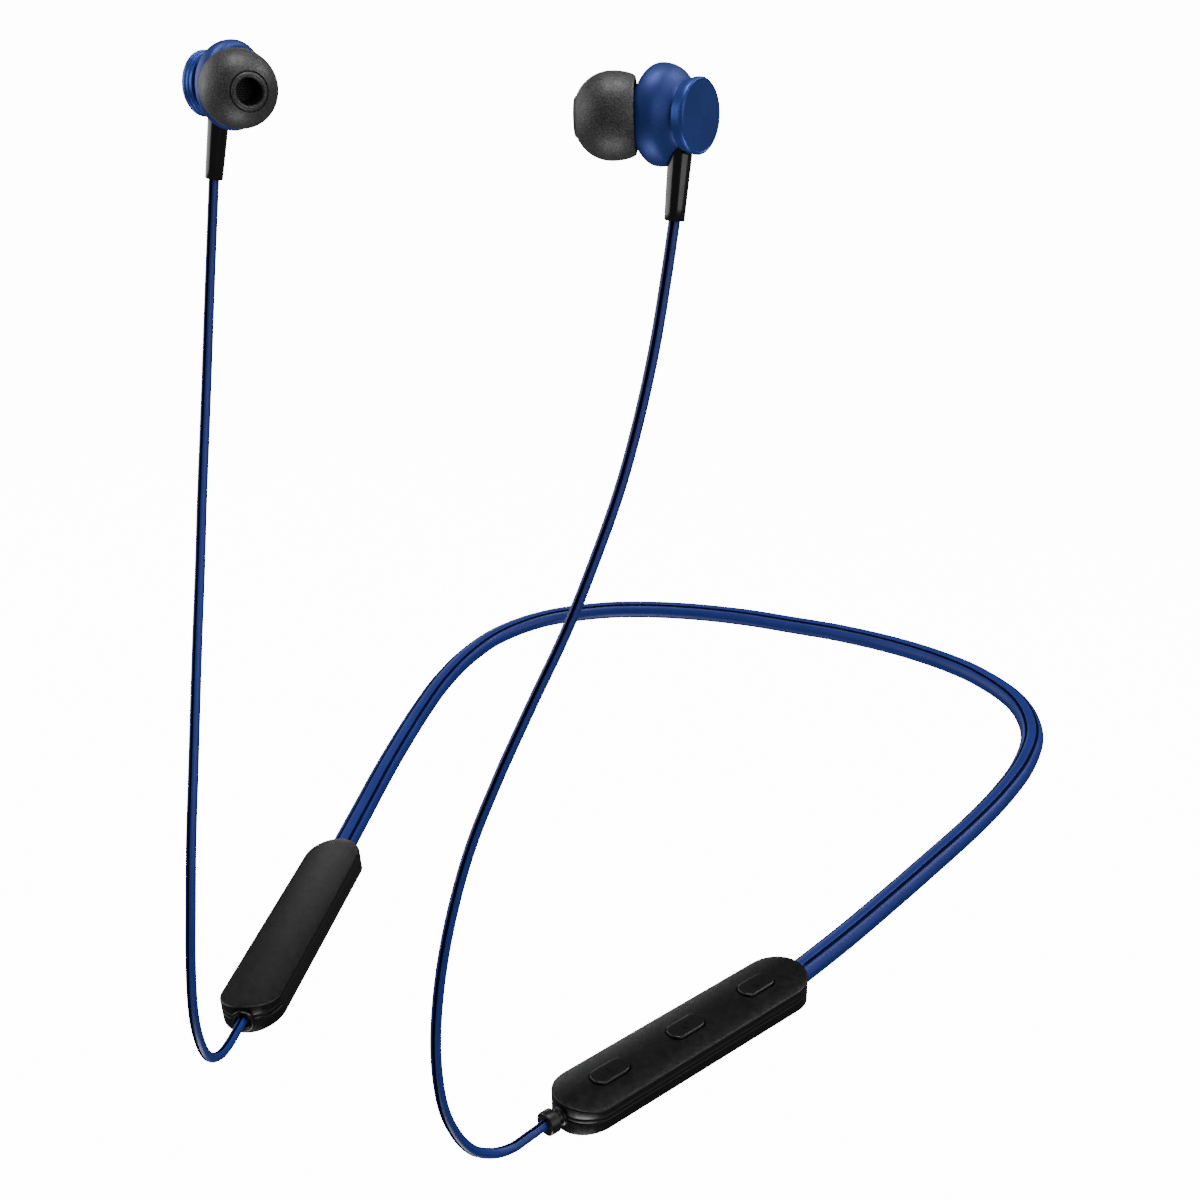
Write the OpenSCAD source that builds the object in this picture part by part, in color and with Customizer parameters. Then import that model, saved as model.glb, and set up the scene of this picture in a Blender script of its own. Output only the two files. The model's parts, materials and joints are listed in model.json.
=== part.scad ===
// Neckband earphones: a moulded neckband joins a control pod and a battery pod, and a short cord
// runs up from the front of each pod to an earbud. Millimetres, +Z up. The wearer faces -Y, and the
// wearer's left is +X. The origin is the centre of the neckband's inner face, at the nape.
// Each pod has its own frame: x along the pod from the neckband, y outwards, z out of its face.
// Each earbud has its own frame: z along its housing towards the ear, x forwards and y up, from the
// middle of its flange. Its nozzle and ear tip point further forwards.

/* [Neckband] */
// Width of the neckband's oval section, from its inner to its outer side
band_width = 4.9; // [4.6:0.1:5]
// Height of the section
band_height = 4.2; // [4:0.05:4.25]
// Depth of the four grooves, two along the top and two along the underside
groove_depth = 0.45; // [0.2:0.05:0.6]
// Width of a groove at its mouth
groove_width = 0.6; // [0.4:0.1:0.8]
// Place of a groove round the oval, in degrees up from its side
groove_angle = 60; // [54:1:66]
// How far the section is turned, outer side upwards, in degrees
band_turn = 6; // [0:1:10]
// Diameter of the memory wire inside the neckband
wire_d = 1.2; // [0.8:0.1:1.4]

/* [Pods] */
// Length of the control pod
control_length = 55.6; // [54.6:0.5:60]
// Length of the battery pod
battery_length = 58.6; // [57:0.5:62]
// Width of a pod
pod_width = 11.6; // [11.5:0.1:12.2]
// Thickness of a pod at the middle of its face
pod_thickness = 5.6; // [5.6:0.1:6.4]
// Radius of the rounded ends of a pod's outline
pod_corner = 5.7; // [4.8:0.1:5.7]
// Height of the crown across each face
pod_crown = 0.7; // [0.4:0.1:0.8]
// Wall thickness of the shells
pod_wall = 0.9; // [0.8:0.05:1]
// Lean of a pod's face towards the outside, in degrees
pod_lean = 4.5; // [0:0.5:12]

/* [Buttons] */
// Length of a button along the pod
button_length = 7.3; // [6.5:0.1:8]
// Width of a button
button_width = 3.8; // [3.4:0.1:4]
// How far a button stands above the crown of the face
button_rise = 0.5; // [0.35:0.05:0.6]
// How far a button can be pressed
button_travel = 0.3; // [0.15:0.05:0.3]
// Place of the first button along the pod
button_start = 10.7; // [10.5:0.1:11.2]
// Distance between buttons
button_pitch = 17.1; // [16.9:0.1:17.3]

/* [Charging port] */
// Width of the socket's shell
usb_width = 7.4; // [7.2:0.1:7.6]
// Height of the socket's shell
usb_height = 2.4; // [2.3:0.1:2.5]
// Place of the socket along the pod
usb_place = 36.3; // [36.2:0.1:36.4]

/* [Earbuds] */
// Diameter of the silicone ear tip at its widest
tip_d = 12.1; // [11.6:0.1:12.2]
// Diameter of the sound bore at the front of the ear tip
sound_d = 4.2; // [3.8:0.1:4.3]
// Outer diameter of the nozzle
nozzle_d = 4.6; // [4.5:0.1:4.7]
// Diameter of the housing's flange
flange_d = 14; // [13.8:0.05:14]
// Diameter of the housing's waist
waist_d = 8.8; // [8.6:0.1:9]
// Diameter of the back cap
cap_d = 10.4; // [10.2:0.1:10.6]
// Diameter of a stem at its lower end
stem_end_d = 2.9; // [2.6:0.1:3.2]

/* [Cords] */
// Diameter of an earbud's cord
cord_d = 1.7; // [1.5:0.1:1.8]

/* [Hidden] */

// Colours
BLUE = [0.11, 0.21, 0.56];
BLACK = [0.08, 0.08, 0.08];
RUBBER = [0.16, 0.16, 0.16];
STEEL = [0.75, 0.76, 0.78];
BOARD = [0.08, 0.32, 0.16];
COPPER = [0.72, 0.43, 0.2];
SILVER_FOIL = [0.8, 0.8, 0.82];

// Clearances: between fixed pieces, and round a piece that slides or turns
SNUG = 0.05;
FREE = 0.1;

// How far a cut runs on past the face it opens
OVER = 1;
ROUND = 64;
SMALL_ROUND = 32;

// Neckband: half of its centreline, from the nape to the control pod. The other half mirrors it.
BAND_HALF = [[0, 2.45, 0], [13, 2.3, 0], [27, 0.8, -0.3], [40, -2.5, -0.8], [51, -7, -1.7],
    [62, -15.3, -3.2], [68.6, -26.6, -5.3], [70.3, -39, -7.6], [69.2, -52, -10],
    [66.7, -64.3, -12.5], [63.3, -77.3, -15.1], [59.8, -89.6, -17.7], [55.8, -102.6, -20.6],
    [51.92, -114.6, -22.95], [51.3, -116.3, -23.1], [50.34, -118.92, -23.32]];
BAND_STEPS = 2;

// Pods: where the neckband enters, the turn about Z from straight ahead, and the slope down
POD_ENTRY = [51.3, -116.3, -23.1];
POD_YAW = 20.2;
POD_PITCH = 4.6;
BAND_IN_POD = 2.8;

// Levels inside a pod, along its z
ROOF_T = 1.1;
ROOF = pod_thickness / 2 - ROOF_T;
FLOOR = pod_wall - pod_thickness / 2;
BOARD_TOP = -0.1;
BOARD_T = 0.8;
SWITCH_TOP = 0.6;
KEY_BASE = 1;
KEY_RIM = 0.5;
KEY_RIM_T = 0.6;
PLUNGER_D = 1.6;
PLUNGER_BASE = 0.3;

// Earbuds: the middle of each flange and how its housing is turned. The right one's values are
// those of its mirror image.
LEFT_BUD = [39.6, -150.6, 126.2];
LEFT_TURN = [89.4, 0, -95];
RIGHT_BUD = [36.4, -151.6, 129.9];
RIGHT_TURN = [92.8, 0, -88];

// The ear tip's widest section and the turn of the nozzle's axis, in the earbud's frame
TIP_AT = [4.54, -0.2, 5.4];
TIP_TURN = [2, 29, 0];

// Stations along the nozzle's axis, from the ear tip's widest section
TIP_FRONT = 5.2;
TIP_REAR = -3.3;
CORE_REAR = -2.8;
TIP_WALL = 0.6;
TIP_HOLLOW = 3.4;
RIM_WALL = 0.4;
BORE_END = 1.8;
NOZZLE_END = 1.4;
NOZZLE_BACK = 7;
NOZZLE_WALL = 0.5;

// Stations along the housing's axis, from the middle of the flange
FLANGE_ROUND = 1.3;
CAVITY_FRONT = 0.55;
WAIST = -4.2;
CAP_REAR = -4.3;
CAP_FACE = -6.35;
SHELL = 0.7;

// Stems: the top end, under the waist, and the lower end, where the cord comes out
LEFT_STEM = [[42.8, -151.2, 122.1], [42.25, -151.8, 112]];
RIGHT_STEM = [[-39.9, -151.4, 126.1], [-41.9, -151.5, 115.3]];
STEM_TOP_D = 3.5;

// Cords: hand-laid routes from inside the stem down and round into the pod's front end
LEFT_ROUTE = [[42.36, -151.68, 114], [42.25, -151.8, 112], [41.9, -153.2, 105], [41.3, -155.5, 95],
    [40.3, -158.2, 85], [38.9, -161.4, 75], [36.9, -165.3, 65], [34.5, -169.5, 55],
    [31.6, -174.4, 45], [28.8, -179.1, 35], [26.4, -183.3, 25], [24.9, -186.5, 15],
    [24, -188.7, 5], [23.8, -190, -5], [24.2, -189.7, -14], [24.9, -187.8, -20.5],
    [26, -184.7, -25.6], [27.4, -181, -28.2], [28.7, -177.6, -29], [29.9, -174.4, -28.5],
    [31.06, -171.3, -27.85], [31.75, -169.44, -27.68]];
RIGHT_ROUTE = [[-41.54, -151.48, 117.27], [-41.9, -151.5, 115.3], [-41.9, -153.2, 105],
    [-41.3, -155.5, 95], [-40.3, -158.2, 85], [-38.9, -161.4, 75], [-36.9, -165.3, 65],
    [-34.5, -169.5, 55], [-31.6, -174.4, 45], [-28.8, -179.1, 35], [-26.4, -183.3, 25],
    [-24.9, -186.5, 15], [-24, -188.7, 5], [-23.8, -190, -5], [-24.1, -190, -14],
    [-24.6, -188.5, -20.7], [-25.7, -185.6, -25.2], [-27.2, -181.6, -27.6],
    [-28.6, -177.9, -28.2], [-29.8, -174.8, -28.1], [-31, -171.6, -27.85],
    [-31.62, -169.8, -27.7]];
CORD_STEPS = 2;
CORD_SIDES = 8;

// ---- Sweeping along a route ----

function unit(v) = v / norm(v);

// A point between p1 and p2 on the smooth curve through four points in a row
function curve_point(p0, p1, p2, p3, t) =
    0.5 * (2 * p1 + (p2 - p0) * t + (2 * p0 - 5 * p1 + 4 * p2 - p3) * t * t
    + (3 * p1 - p0 - 3 * p2 + p3) * t * t * t);

function smooth_route(p, steps) = let (last = len(p) - 1) concat(
    [for (i = [0 : last - 1]) for (k = [0 : steps - 1])
        curve_point(p[max(i - 1, 0)], p[i], p[i + 1], p[min(i + 2, last)], k / steps)],
    [p[last]]);

function tangent(p, i) = unit(p[min(i + 1, len(p) - 1)] - p[max(i - 1, 0)]);

// Corners of one ring: the section's x lies level, to the left of travel, then turns by roll
function ring(at, along, section, roll) =
    let (level = unit(cross([0, 0, 1], along)))
    let (up = cross(along, level))
    let (across = level * cos(roll) + up * sin(roll))
    let (over = up * cos(roll) - level * sin(roll))
    [for (s = section) at + across * s[0] + over * s[1]];

// Walls between rings of n corners each, the first of them numbered base
function walls(rings, n, base) =
    [for (i = [0 : rings - 2]) for (j = [0 : n - 1])
        let (k = (j + 1) % n)
        [base + i * n + j, base + (i + 1) * n + j, base + (i + 1) * n + k, base + i * n + k]];

function flipped(faces) = [for (f = faces) [for (i = [len(f) - 1 : -1 : 0]) f[i]]];

module solid_sweep(route, section, roll) {
    n = len(section);
    count = len(route);
    corners = [for (i = [0 : count - 1]) each ring(route[i], tangent(route, i), section, roll)];
    start = [for (j = [0 : n - 1]) j];
    finish = [for (j = [n - 1 : -1 : 0]) (count - 1) * n + j];
    polyhedron(corners, concat([start, finish], walls(count, n, 0)));
}

// A sweep with a channel: bore is the channel's outline, with as many corners as the section
module hollow_sweep(route, section, bore, roll) {
    n = len(section);
    count = len(route);
    inner = count * n;
    last = (count - 1) * n;
    outside = [for (i = [0 : count - 1]) each ring(route[i], tangent(route, i), section, roll)];
    inside = [for (i = [0 : count - 1]) each ring(route[i], tangent(route, i), bore, roll)];
    start = [for (j = [0 : n - 1]) [j, (j + 1) % n, inner + (j + 1) % n, inner + j]];
    finish = [for (j = [0 : n - 1])
        [last + (j + 1) % n, last + j, inner + last + j, inner + last + (j + 1) % n]];
    polyhedron(concat(outside, inside),
        concat(walls(count, n, 0), flipped(walls(count, n, inner)), start, finish));
}

// Moves a shape so that its z runs from one point towards another
module along(from, to) {
    v = to - from;
    translate(from)
        rotate([0, acos(v[2] / norm(v)), atan2(v[1], v[0])])
            children();
}

// ---- Neckband ----

// A point of the oval grown by grow, at angle a round it
function oval(a, grow) = [(band_width / 2 + grow) * cos(a), (band_height / 2 + grow) * sin(a)];

// Each corner of the section: its angle round the oval and how deep below the oval it lies
GROOVE_HALF = groove_width / band_height * 180 / PI;
GROOVE_CORNERS = [[-GROOVE_HALF, 0], [0, groove_depth], [GROOVE_HALF, 0]];
SIDE_ANGLE = 26;
SECTION_HALF = concat([[0, 0], [SIDE_ANGLE, 0]],
    [for (g = GROOVE_CORNERS) [groove_angle + g[0], g[1]]], [[90, 0]],
    [for (g = GROOVE_CORNERS) [180 - groove_angle + g[0], g[1]]], [[180 - SIDE_ANGLE, 0]]);

BAND_ROUTE_POINTS = concat(
    [for (i = [len(BAND_HALF) - 1 : -1 : 1]) [-BAND_HALF[i][0], BAND_HALF[i][1], BAND_HALF[i][2]]],
    BAND_HALF);
BAND_ROUTE = smooth_route(BAND_ROUTE_POINTS, BAND_STEPS);

module neckband_sleeve() {
    section = [for (turn = [0, 180]) for (p = SECTION_HALF) oval(p[0] + turn, -p[1])];
    n = len(section);
    bore_r = wire_d / 2 + SNUG;
    bore = [for (j = [0 : n - 1]) bore_r * [cos(360 * j / n), sin(360 * j / n)]];
    color(BLUE)
        hollow_sweep(BAND_ROUTE, section, bore, band_turn);
}

module neckband_wire() {
    section = [for (j = [0 : CORD_SIDES - 1])
        (wire_d / 2 - SNUG) * [cos(360 * j / CORD_SIDES), sin(360 * j / CORD_SIDES)]];
    color(STEEL)
        solid_sweep(BAND_ROUTE, section, band_turn);
}

// ---- Pods ----

// side 1 is the control pod's place and -1 the battery pod's, its mirror image
module in_pod(side) {
    mirror([side > 0 ? 0 : 1, 0, 0])
        translate(POD_ENTRY)
            rotate([-pod_lean, POD_PITCH, -90 - POD_YAW])
                children();
}

// A plate with rounded corners, from x 0 to l, centred on y, from z low to high
module plate(l, w, r, low, high) {
    translate([0, 0, low]) {
        for (x = [r, l - r])
            for (y = [r - w / 2, w / 2 - r])
                translate([x, y, 0])
                    cylinder(h = high - low, r = r, $fn = ROUND);
        translate([r, -w / 2, 0])
            cube([l - 2 * r, w, high - low]);
        translate([0, r - w / 2, 0])
            cube([l, w - 2 * r, high - low]);
    }
}

// A plate with well-rounded ends, centred on x and y. Its corners are a share of its width.
PILL_CORNER = 0.42;
module pill(l, w, low, high) {
    translate([-l / 2, 0, 0])
        plate(l, w, PILL_CORNER * w, low, high);
}

// Both crowned faces: the space between two wide cylinders that lie along the pod
CROWN_ROUND = 256;
module crown_space(l) {
    half = pod_width / 2;
    crown_r = (half * half + pod_crown * pod_crown) / (2 * pod_crown);
    intersection_for (face = [-1, 1])
        translate([-OVER, 0, face * (pod_thickness / 2 - crown_r)])
            rotate([0, 90, 0])
                cylinder(h = l + 2 * OVER, r = crown_r, $fn = CROWN_ROUND);
}

GLAND_BORE_R = cord_d / 2 + SNUG;
GLAND_NECK_D = 3.3;
ENTRY_STEP = 10;

// One half of a pod's case: face 1 is the top shell and -1 the bottom shell
module pod_shell(l, face) {
    half = pod_thickness / 2;
    low = face > 0 ? 0 : -half;
    high = face > 0 ? half : 0;
    hollow_low = face > 0 ? -OVER : FLOOR;
    hollow_high = face > 0 ? ROOF : OVER;
    difference() {
        intersection() {
            plate(l, pod_width, pod_corner, low, high);
            crown_space(l);
        }
        translate([pod_wall, 0, 0])
            plate(l - 2 * pod_wall, pod_width - 2 * pod_wall, pod_corner - pod_wall,
                hollow_low, hollow_high);
        translate([-OVER, 0, 0])
            rotate([band_turn + pod_lean, 0, 0])
                rotate([90, 0, 90])
                    linear_extrude(height = BAND_IN_POD + 2 * OVER)
                        polygon([for (a = [0 : ENTRY_STEP : 359]) oval(a, SNUG)]);
        translate([l - pod_wall - OVER, 0, 0])
            rotate([0, 90, 0])
                cylinder(h = pod_wall + 2 * OVER, d = GLAND_NECK_D + 2 * SNUG, $fn = SMALL_ROUND);
        children();
    }
}

module button_places(which) {
    translate([button_start + which * button_pitch, 0, 0])
        children();
}

PORT_CUT = usb_width + 2 * FREE;
COVER_LENGTH = 10;
COVER_HEIGHT = 3.6;
COVER_T = 0.55;
COVER_DEPTH = 0.5;
INNER_SIDE = -pod_width / 2;
LIGHT_PLACE = 22;
LIGHT_LEVEL = 0.9;
LIGHT_D = 1.2;
LIGHT_DEPTH = 1.3;
MIC_PLACE = 50.5;
MIC_PORT_D = 0.8;

// What both control shells have cut out of their inner side: the socket, its cover and the light
module side_openings() {
    translate([usb_place - PORT_CUT / 2, INNER_SIDE - OVER, -usb_height / 2 - FREE])
        cube([PORT_CUT, pod_wall + 2 * OVER, usb_height + 2 * FREE]);
    translate([usb_place - COVER_LENGTH / 2 - FREE, INNER_SIDE - OVER, -COVER_HEIGHT / 2 - FREE])
        cube([COVER_LENGTH + 2 * FREE, COVER_DEPTH + OVER, COVER_HEIGHT + 2 * FREE]);
    translate([LIGHT_PLACE, INNER_SIDE - OVER, LIGHT_LEVEL])
        rotate([-90, 0, 0])
            cylinder(h = pod_wall + 2 * OVER, d = LIGHT_D + 2 * SNUG, $fn = SMALL_ROUND);
}

module control_top_shell() {
    color(BLACK)
        in_pod(1)
            pod_shell(control_length, 1) {
                for (which = [0 : 2])
                    button_places(which)
                        pill(button_length + 2 * FREE, button_width + 2 * FREE, 0, pod_thickness);
                side_openings();
            }
}

module control_bottom_shell() {
    color(BLACK)
        in_pod(1)
            pod_shell(control_length, -1) {
                side_openings();
                translate([MIC_PLACE, 0, -pod_thickness])
                    cylinder(h = pod_thickness, d = MIC_PORT_D, $fn = SMALL_ROUND);
            }
}

// A button: its cap stands through the roof, and a rim below the roof keeps it in
module button(which) {
    color(BLACK)
        in_pod(1)
            button_places(which) {
                pill(button_length, button_width, KEY_BASE, pod_thickness / 2 + button_rise);
                pill(button_length + 2 * KEY_RIM, button_width + 2 * KEY_RIM,
                    KEY_BASE, KEY_BASE + KEY_RIM_T);
            }
}

module plus_button() {
    button(0);
}

module power_button() {
    button(1);
}

module minus_button() {
    button(2);
}

// The pin of a tact switch, which the button pushes down
module plunger(which) {
    color(STEEL)
        in_pod(1)
            button_places(which)
                translate([0, 0, PLUNGER_BASE])
                    cylinder(h = KEY_BASE - PLUNGER_BASE, d = PLUNGER_D, $fn = SMALL_ROUND);
}

module plus_plunger() {
    plunger(0);
}

module power_plunger() {
    plunger(1);
}

module minus_plunger() {
    plunger(2);
}

SWITCH_SIZE = 3.4;
module tact_switches() {
    color(STEEL)
        in_pod(1)
            for (which = [0 : 2])
                button_places(which)
                    difference() {
                        translate([-SWITCH_SIZE / 2, -SWITCH_SIZE / 2, BOARD_TOP])
                            cube([SWITCH_SIZE, SWITCH_SIZE, SWITCH_TOP - BOARD_TOP]);
                        translate([0, 0, PLUNGER_BASE - button_travel - SNUG])
                            cylinder(h = SWITCH_TOP + OVER, d = PLUNGER_D + 2 * SNUG, $fn = SMALL_ROUND);
                    }
}

// The board, with a notch that the socket sits in
BOARD_START = 4.4;
BOARD_END_GAP = 3;
BOARD_W = 8.4;
BOARD_R = 1.5;
NOTCH_GAP = 0.3;
NOTCH_END = -0.2;
module control_board() {
    length = control_length - BOARD_START - BOARD_END_GAP;
    color(BOARD)
        in_pod(1)
            difference() {
                translate([BOARD_START, 0, 0])
                    plate(length, BOARD_W, BOARD_R, BOARD_TOP - BOARD_T, BOARD_TOP);
                translate([usb_place - usb_width / 2 - NOTCH_GAP, -BOARD_W, BOARD_TOP - BOARD_T - OVER])
                    cube([usb_width + 2 * NOTCH_GAP, BOARD_W + NOTCH_END, BOARD_T + 2 * OVER]);
            }
}

CHIP_PLACE = 19.2;
CHIP_SIZE = 5;
CHIP_T = 0.9;
CHIP_SIDE = -1.5;
module bluetooth_chip() {
    color(BLACK)
        in_pod(1)
            translate([CHIP_PLACE - CHIP_SIZE / 2, CHIP_SIDE, BOARD_TOP])
                cube([CHIP_SIZE, CHIP_SIZE, CHIP_T]);
}

MIC_SIZE = [3, 2.4, 0.8];
module microphone() {
    color(SILVER_FOIL)
        in_pod(1)
            translate([MIC_PLACE - MIC_SIZE[0] / 2, -MIC_SIZE[1] / 2, BOARD_TOP - BOARD_T - MIC_SIZE[2]])
                cube(MIC_SIZE);
}

module status_light() {
    color([0.9, 0.92, 1])
        in_pod(1)
            translate([LIGHT_PLACE, INNER_SIDE, LIGHT_LEVEL])
                rotate([-90, 0, 0])
                    cylinder(h = LIGHT_DEPTH, d = LIGHT_D, $fn = SMALL_ROUND);
}

USB_DEPTH = 4.8;
USB_SHEET = 0.3;
USB_SET_BACK = 0.6;
module usb_socket() {
    color(STEEL)
        in_pod(1)
            translate([usb_place - usb_width / 2, INNER_SIDE + USB_SET_BACK, -usb_height / 2])
                difference() {
                    cube([usb_width, USB_DEPTH, usb_height]);
                    translate([USB_SHEET, -OVER, USB_SHEET])
                        cube([usb_width - 2 * USB_SHEET, USB_DEPTH - USB_SHEET + OVER,
                            usb_height - 2 * USB_SHEET]);
                }
}

PLUG_LENGTH = 5.6;
PLUG_HEIGHT = 1.4;
PLUG_DEPTH = 1.2;
module port_cover() {
    color(RUBBER)
        in_pod(1) {
            translate([usb_place - COVER_LENGTH / 2, INNER_SIDE - COVER_T + COVER_DEPTH, -COVER_HEIGHT / 2])
                cube([COVER_LENGTH, COVER_T, COVER_HEIGHT]);
            translate([usb_place - PLUG_LENGTH / 2, INNER_SIDE, -PLUG_HEIGHT / 2])
                cube([PLUG_LENGTH, PLUG_DEPTH, PLUG_HEIGHT]);
        }
}

GLAND_RIM_D = 4.1;
GLAND_REACH = 3.2;
GLAND_RIM_T = 0.9;
KEEPER = [0.8, 5, 3.2];
KEEPER_BACK = 2.5;

// A gland's body: its neck starts inside the pod, where a flat keeper holds it
module gland_body(l, reach) {
    translate([l - KEEPER_BACK, -KEEPER[1] / 2, -KEEPER[2] / 2])
        cube(KEEPER);
    translate([l - KEEPER_BACK, 0, 0])
        rotate([0, 90, 0])
            cylinder(h = KEEPER_BACK + reach, d = GLAND_NECK_D, $fn = SMALL_ROUND);
}

module gland_bore(l) {
    translate([l - KEEPER_BACK - OVER, 0, 0])
        rotate([0, 90, 0])
            cylinder(h = KEEPER_BACK + GLAND_REACH + 2 * OVER, r = GLAND_BORE_R, $fn = SMALL_ROUND);
}

// The strain relief at the control pod's front end: a collar with a rim where the cord comes out
module control_gland() {
    color(BLACK)
        in_pod(1)
            difference() {
                union() {
                    gland_body(control_length, GLAND_REACH);
                    translate([control_length + GLAND_REACH - GLAND_RIM_T, 0, 0])
                        rotate([0, 90, 0])
                            cylinder(h = GLAND_RIM_T, d = GLAND_RIM_D, $fn = SMALL_ROUND);
                }
                gland_bore(control_length);
            }
}

GROMMET_D = 4.2;
GROMMET_REACH = 0.5;
GROMMET_SEAT = 0.45;
GROMMET_MOUTH_D = 2.8;
GROMMET_MOUTH_T = 0.7;

// The grommet at the battery pod's front end: a ring nearly flush with the end
module battery_gland() {
    color(BLACK)
        in_pod(-1)
            difference() {
                union() {
                    gland_body(battery_length, GROMMET_REACH);
                    grommet_ring(GROMMET_D, GROMMET_SEAT + GROMMET_REACH);
                }
                gland_bore(battery_length);
                translate([battery_length + GROMMET_REACH - GROMMET_MOUTH_T, 0, 0])
                    rotate([0, 90, 0])
                        cylinder(h = GROMMET_MOUTH_T + OVER, d = GROMMET_MOUTH_D, $fn = SMALL_ROUND);
            }
}

// The grommet's ring, and its seat in the shells
module grommet_ring(d, t) {
    translate([battery_length - GROMMET_SEAT, 0, 0])
        rotate([0, 90, 0])
            cylinder(h = t, d = d, $fn = SMALL_ROUND);
}

module battery_top_shell() {
    color(BLACK)
        in_pod(-1)
            pod_shell(battery_length, 1)
                grommet_ring(GROMMET_D + 2 * SNUG, GROMMET_SEAT + OVER);
}

module battery_bottom_shell() {
    color(BLACK)
        in_pod(-1)
            pod_shell(battery_length, -1)
                grommet_ring(GROMMET_D + 2 * SNUG, GROMMET_SEAT + OVER);
}

// The cell lies on a foam pad on the bottom shell's floor
CELL_START = 11.5;
CELL_SIZE = [42, 8.6, 2.9];
CELL_R = 0.8;
FOAM_INSET = 4;
FOAM_W = 6;
FOAM_T = 0.4;
module battery_cell() {
    color(SILVER_FOIL)
        in_pod(-1)
            translate([CELL_START, 0, 0])
                plate(CELL_SIZE[0], CELL_SIZE[1], CELL_R, FLOOR + FOAM_T, FLOOR + FOAM_T + CELL_SIZE[2]);
}

module foam_pad() {
    color(RUBBER)
        in_pod(-1)
            translate([CELL_START + FOAM_INSET, -FOAM_W / 2, FLOOR])
                cube([CELL_SIZE[0] - 2 * FOAM_INSET, FOAM_W, FOAM_T]);
}

PROTECTION_SIZE = [6, 7, 0.8];
module battery_board() {
    color(BOARD)
        in_pod(-1)
            translate([BOARD_START, -PROTECTION_SIZE[1] / 2, -PROTECTION_SIZE[2] / 2])
                cube(PROTECTION_SIZE);
}

// ---- Earbuds ----

// side 1 is the left earbud and -1 the right one, built as its mirror image
module in_bud(side) {
    mirror([side > 0 ? 0 : 1, 0, 0])
        translate(side > 0 ? LEFT_BUD : RIGHT_BUD)
            rotate(side > 0 ? LEFT_TURN : RIGHT_TURN)
                children();
}

module on_nozzle(side) {
    in_bud(side)
        translate(TIP_AT)
            rotate(TIP_TURN)
                children();
}

// A point of the ear tip's dome at an angle from its front
DOME_MIDDLE = 0.54;
DOME_DEPTH = 5.4;
DOME_START = 28;
function dome_point(a) =
    [DOME_MIDDLE + (tip_d / 2 - DOME_MIDDLE) * sin(a), DOME_DEPTH * cos(a)];

// The ear tip: a soft dome over a tube that grips the nozzle. Each point of the lip round its mouth
// is how far out from the sound bore and how far behind the front.
TIP_LIP = [[0, 0.3], [0.2, 0], [0.5, 0.05], [0.75, 0.25], [0.85, 0.5]];
TIP_REAR_R = 4.93;
TIP_REAR_DEPTH = 3.53;
module ear_tip(side) {
    widest = tip_d / 2;
    mouth = sound_d / 2;
    tube_r = nozzle_d / 2 + SNUG;
    core_r = tube_r + TIP_WALL;
    lip = [for (p = TIP_LIP) [mouth + p[0], TIP_FRONT - p[1]]];
    dome = [for (i = [0 : 8]) dome_point(DOME_START + (90 - DOME_START) * i / 8)];
    rear_angle = asin(-TIP_REAR / TIP_REAR_DEPTH);
    back = [for (i = [1 : 5]) let (a = rear_angle * i / 5)
        [TIP_REAR_R + (widest - TIP_REAR_R) * cos(a), -TIP_REAR_DEPTH * sin(a)]];
    back_in = [for (p = [4 : -1 : 0]) [back[p][0] - RIM_WALL, back[p][1]]];
    hollow = [for (i = [6 : -1 : 0]) let (a = 90 * i / 8)
        [core_r + (widest - TIP_WALL - core_r) * sin(a), TIP_HOLLOW * cos(a)]];
    color(RUBBER)
        on_nozzle(side)
            rotate_extrude($fn = ROUND)
                polygon(concat(lip, dome, back, back_in, [[widest - TIP_WALL, 0]], hollow,
                    [[core_r, CORE_REAR], [tube_r, CORE_REAR], [tube_r, BORE_END], [mouth, BORE_END]]));
}

MESH_T = 0.2;
MESH_SET_BACK = 0.6;
module nozzle_mesh(side) {
    color(STEEL)
        on_nozzle(side)
            translate([0, 0, NOZZLE_END - MESH_SET_BACK])
                cylinder(h = MESH_T, r = nozzle_d / 2 - NOZZLE_WALL, $fn = ROUND);
}

// The front half of the housing: the flange's round front edge and the angled nozzle
module front_housing(side) {
    outer = flange_d / 2;
    middle = outer - FLANGE_ROUND;
    edge = [for (a = [0 : 15 : 90]) [middle + FLANGE_ROUND * cos(a), FLANGE_ROUND * sin(a)]];
    color(BLUE)
        difference() {
            union() {
                in_bud(side)
                    rotate_extrude($fn = ROUND)
                        polygon(concat(edge, [[0, FLANGE_ROUND], [0, 0]]));
                on_nozzle(side)
                    translate([0, 0, -NOZZLE_BACK])
                        cylinder(h = NOZZLE_BACK + NOZZLE_END, d = nozzle_d, $fn = ROUND);
            }
            in_bud(side)
                translate([0, 0, CAVITY_FRONT - NOZZLE_BACK])
                    cylinder(h = NOZZLE_BACK, r = outer - SHELL, $fn = ROUND);
            on_nozzle(side)
                translate([0, 0, -NOZZLE_BACK - OVER])
                    cylinder(h = NOZZLE_BACK + NOZZLE_END + 2 * OVER, r = nozzle_d / 2 - NOZZLE_WALL,
                        $fn = ROUND);
        }
}

// The driver: a film over an open frame, with a coil behind the film and a magnet behind the frame
DRIVER_R = 5.4;
DRIVER_FRONT = 0.35;
FILM_R = 4.9;
FILM_T = 0.2;
module diaphragm(side) {
    color([0.85, 0.8, 0.7])
        in_bud(side)
            translate([0, 0, DRIVER_FRONT - FILM_T])
                cylinder(h = FILM_T, r = FILM_R, $fn = ROUND);
}

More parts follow.
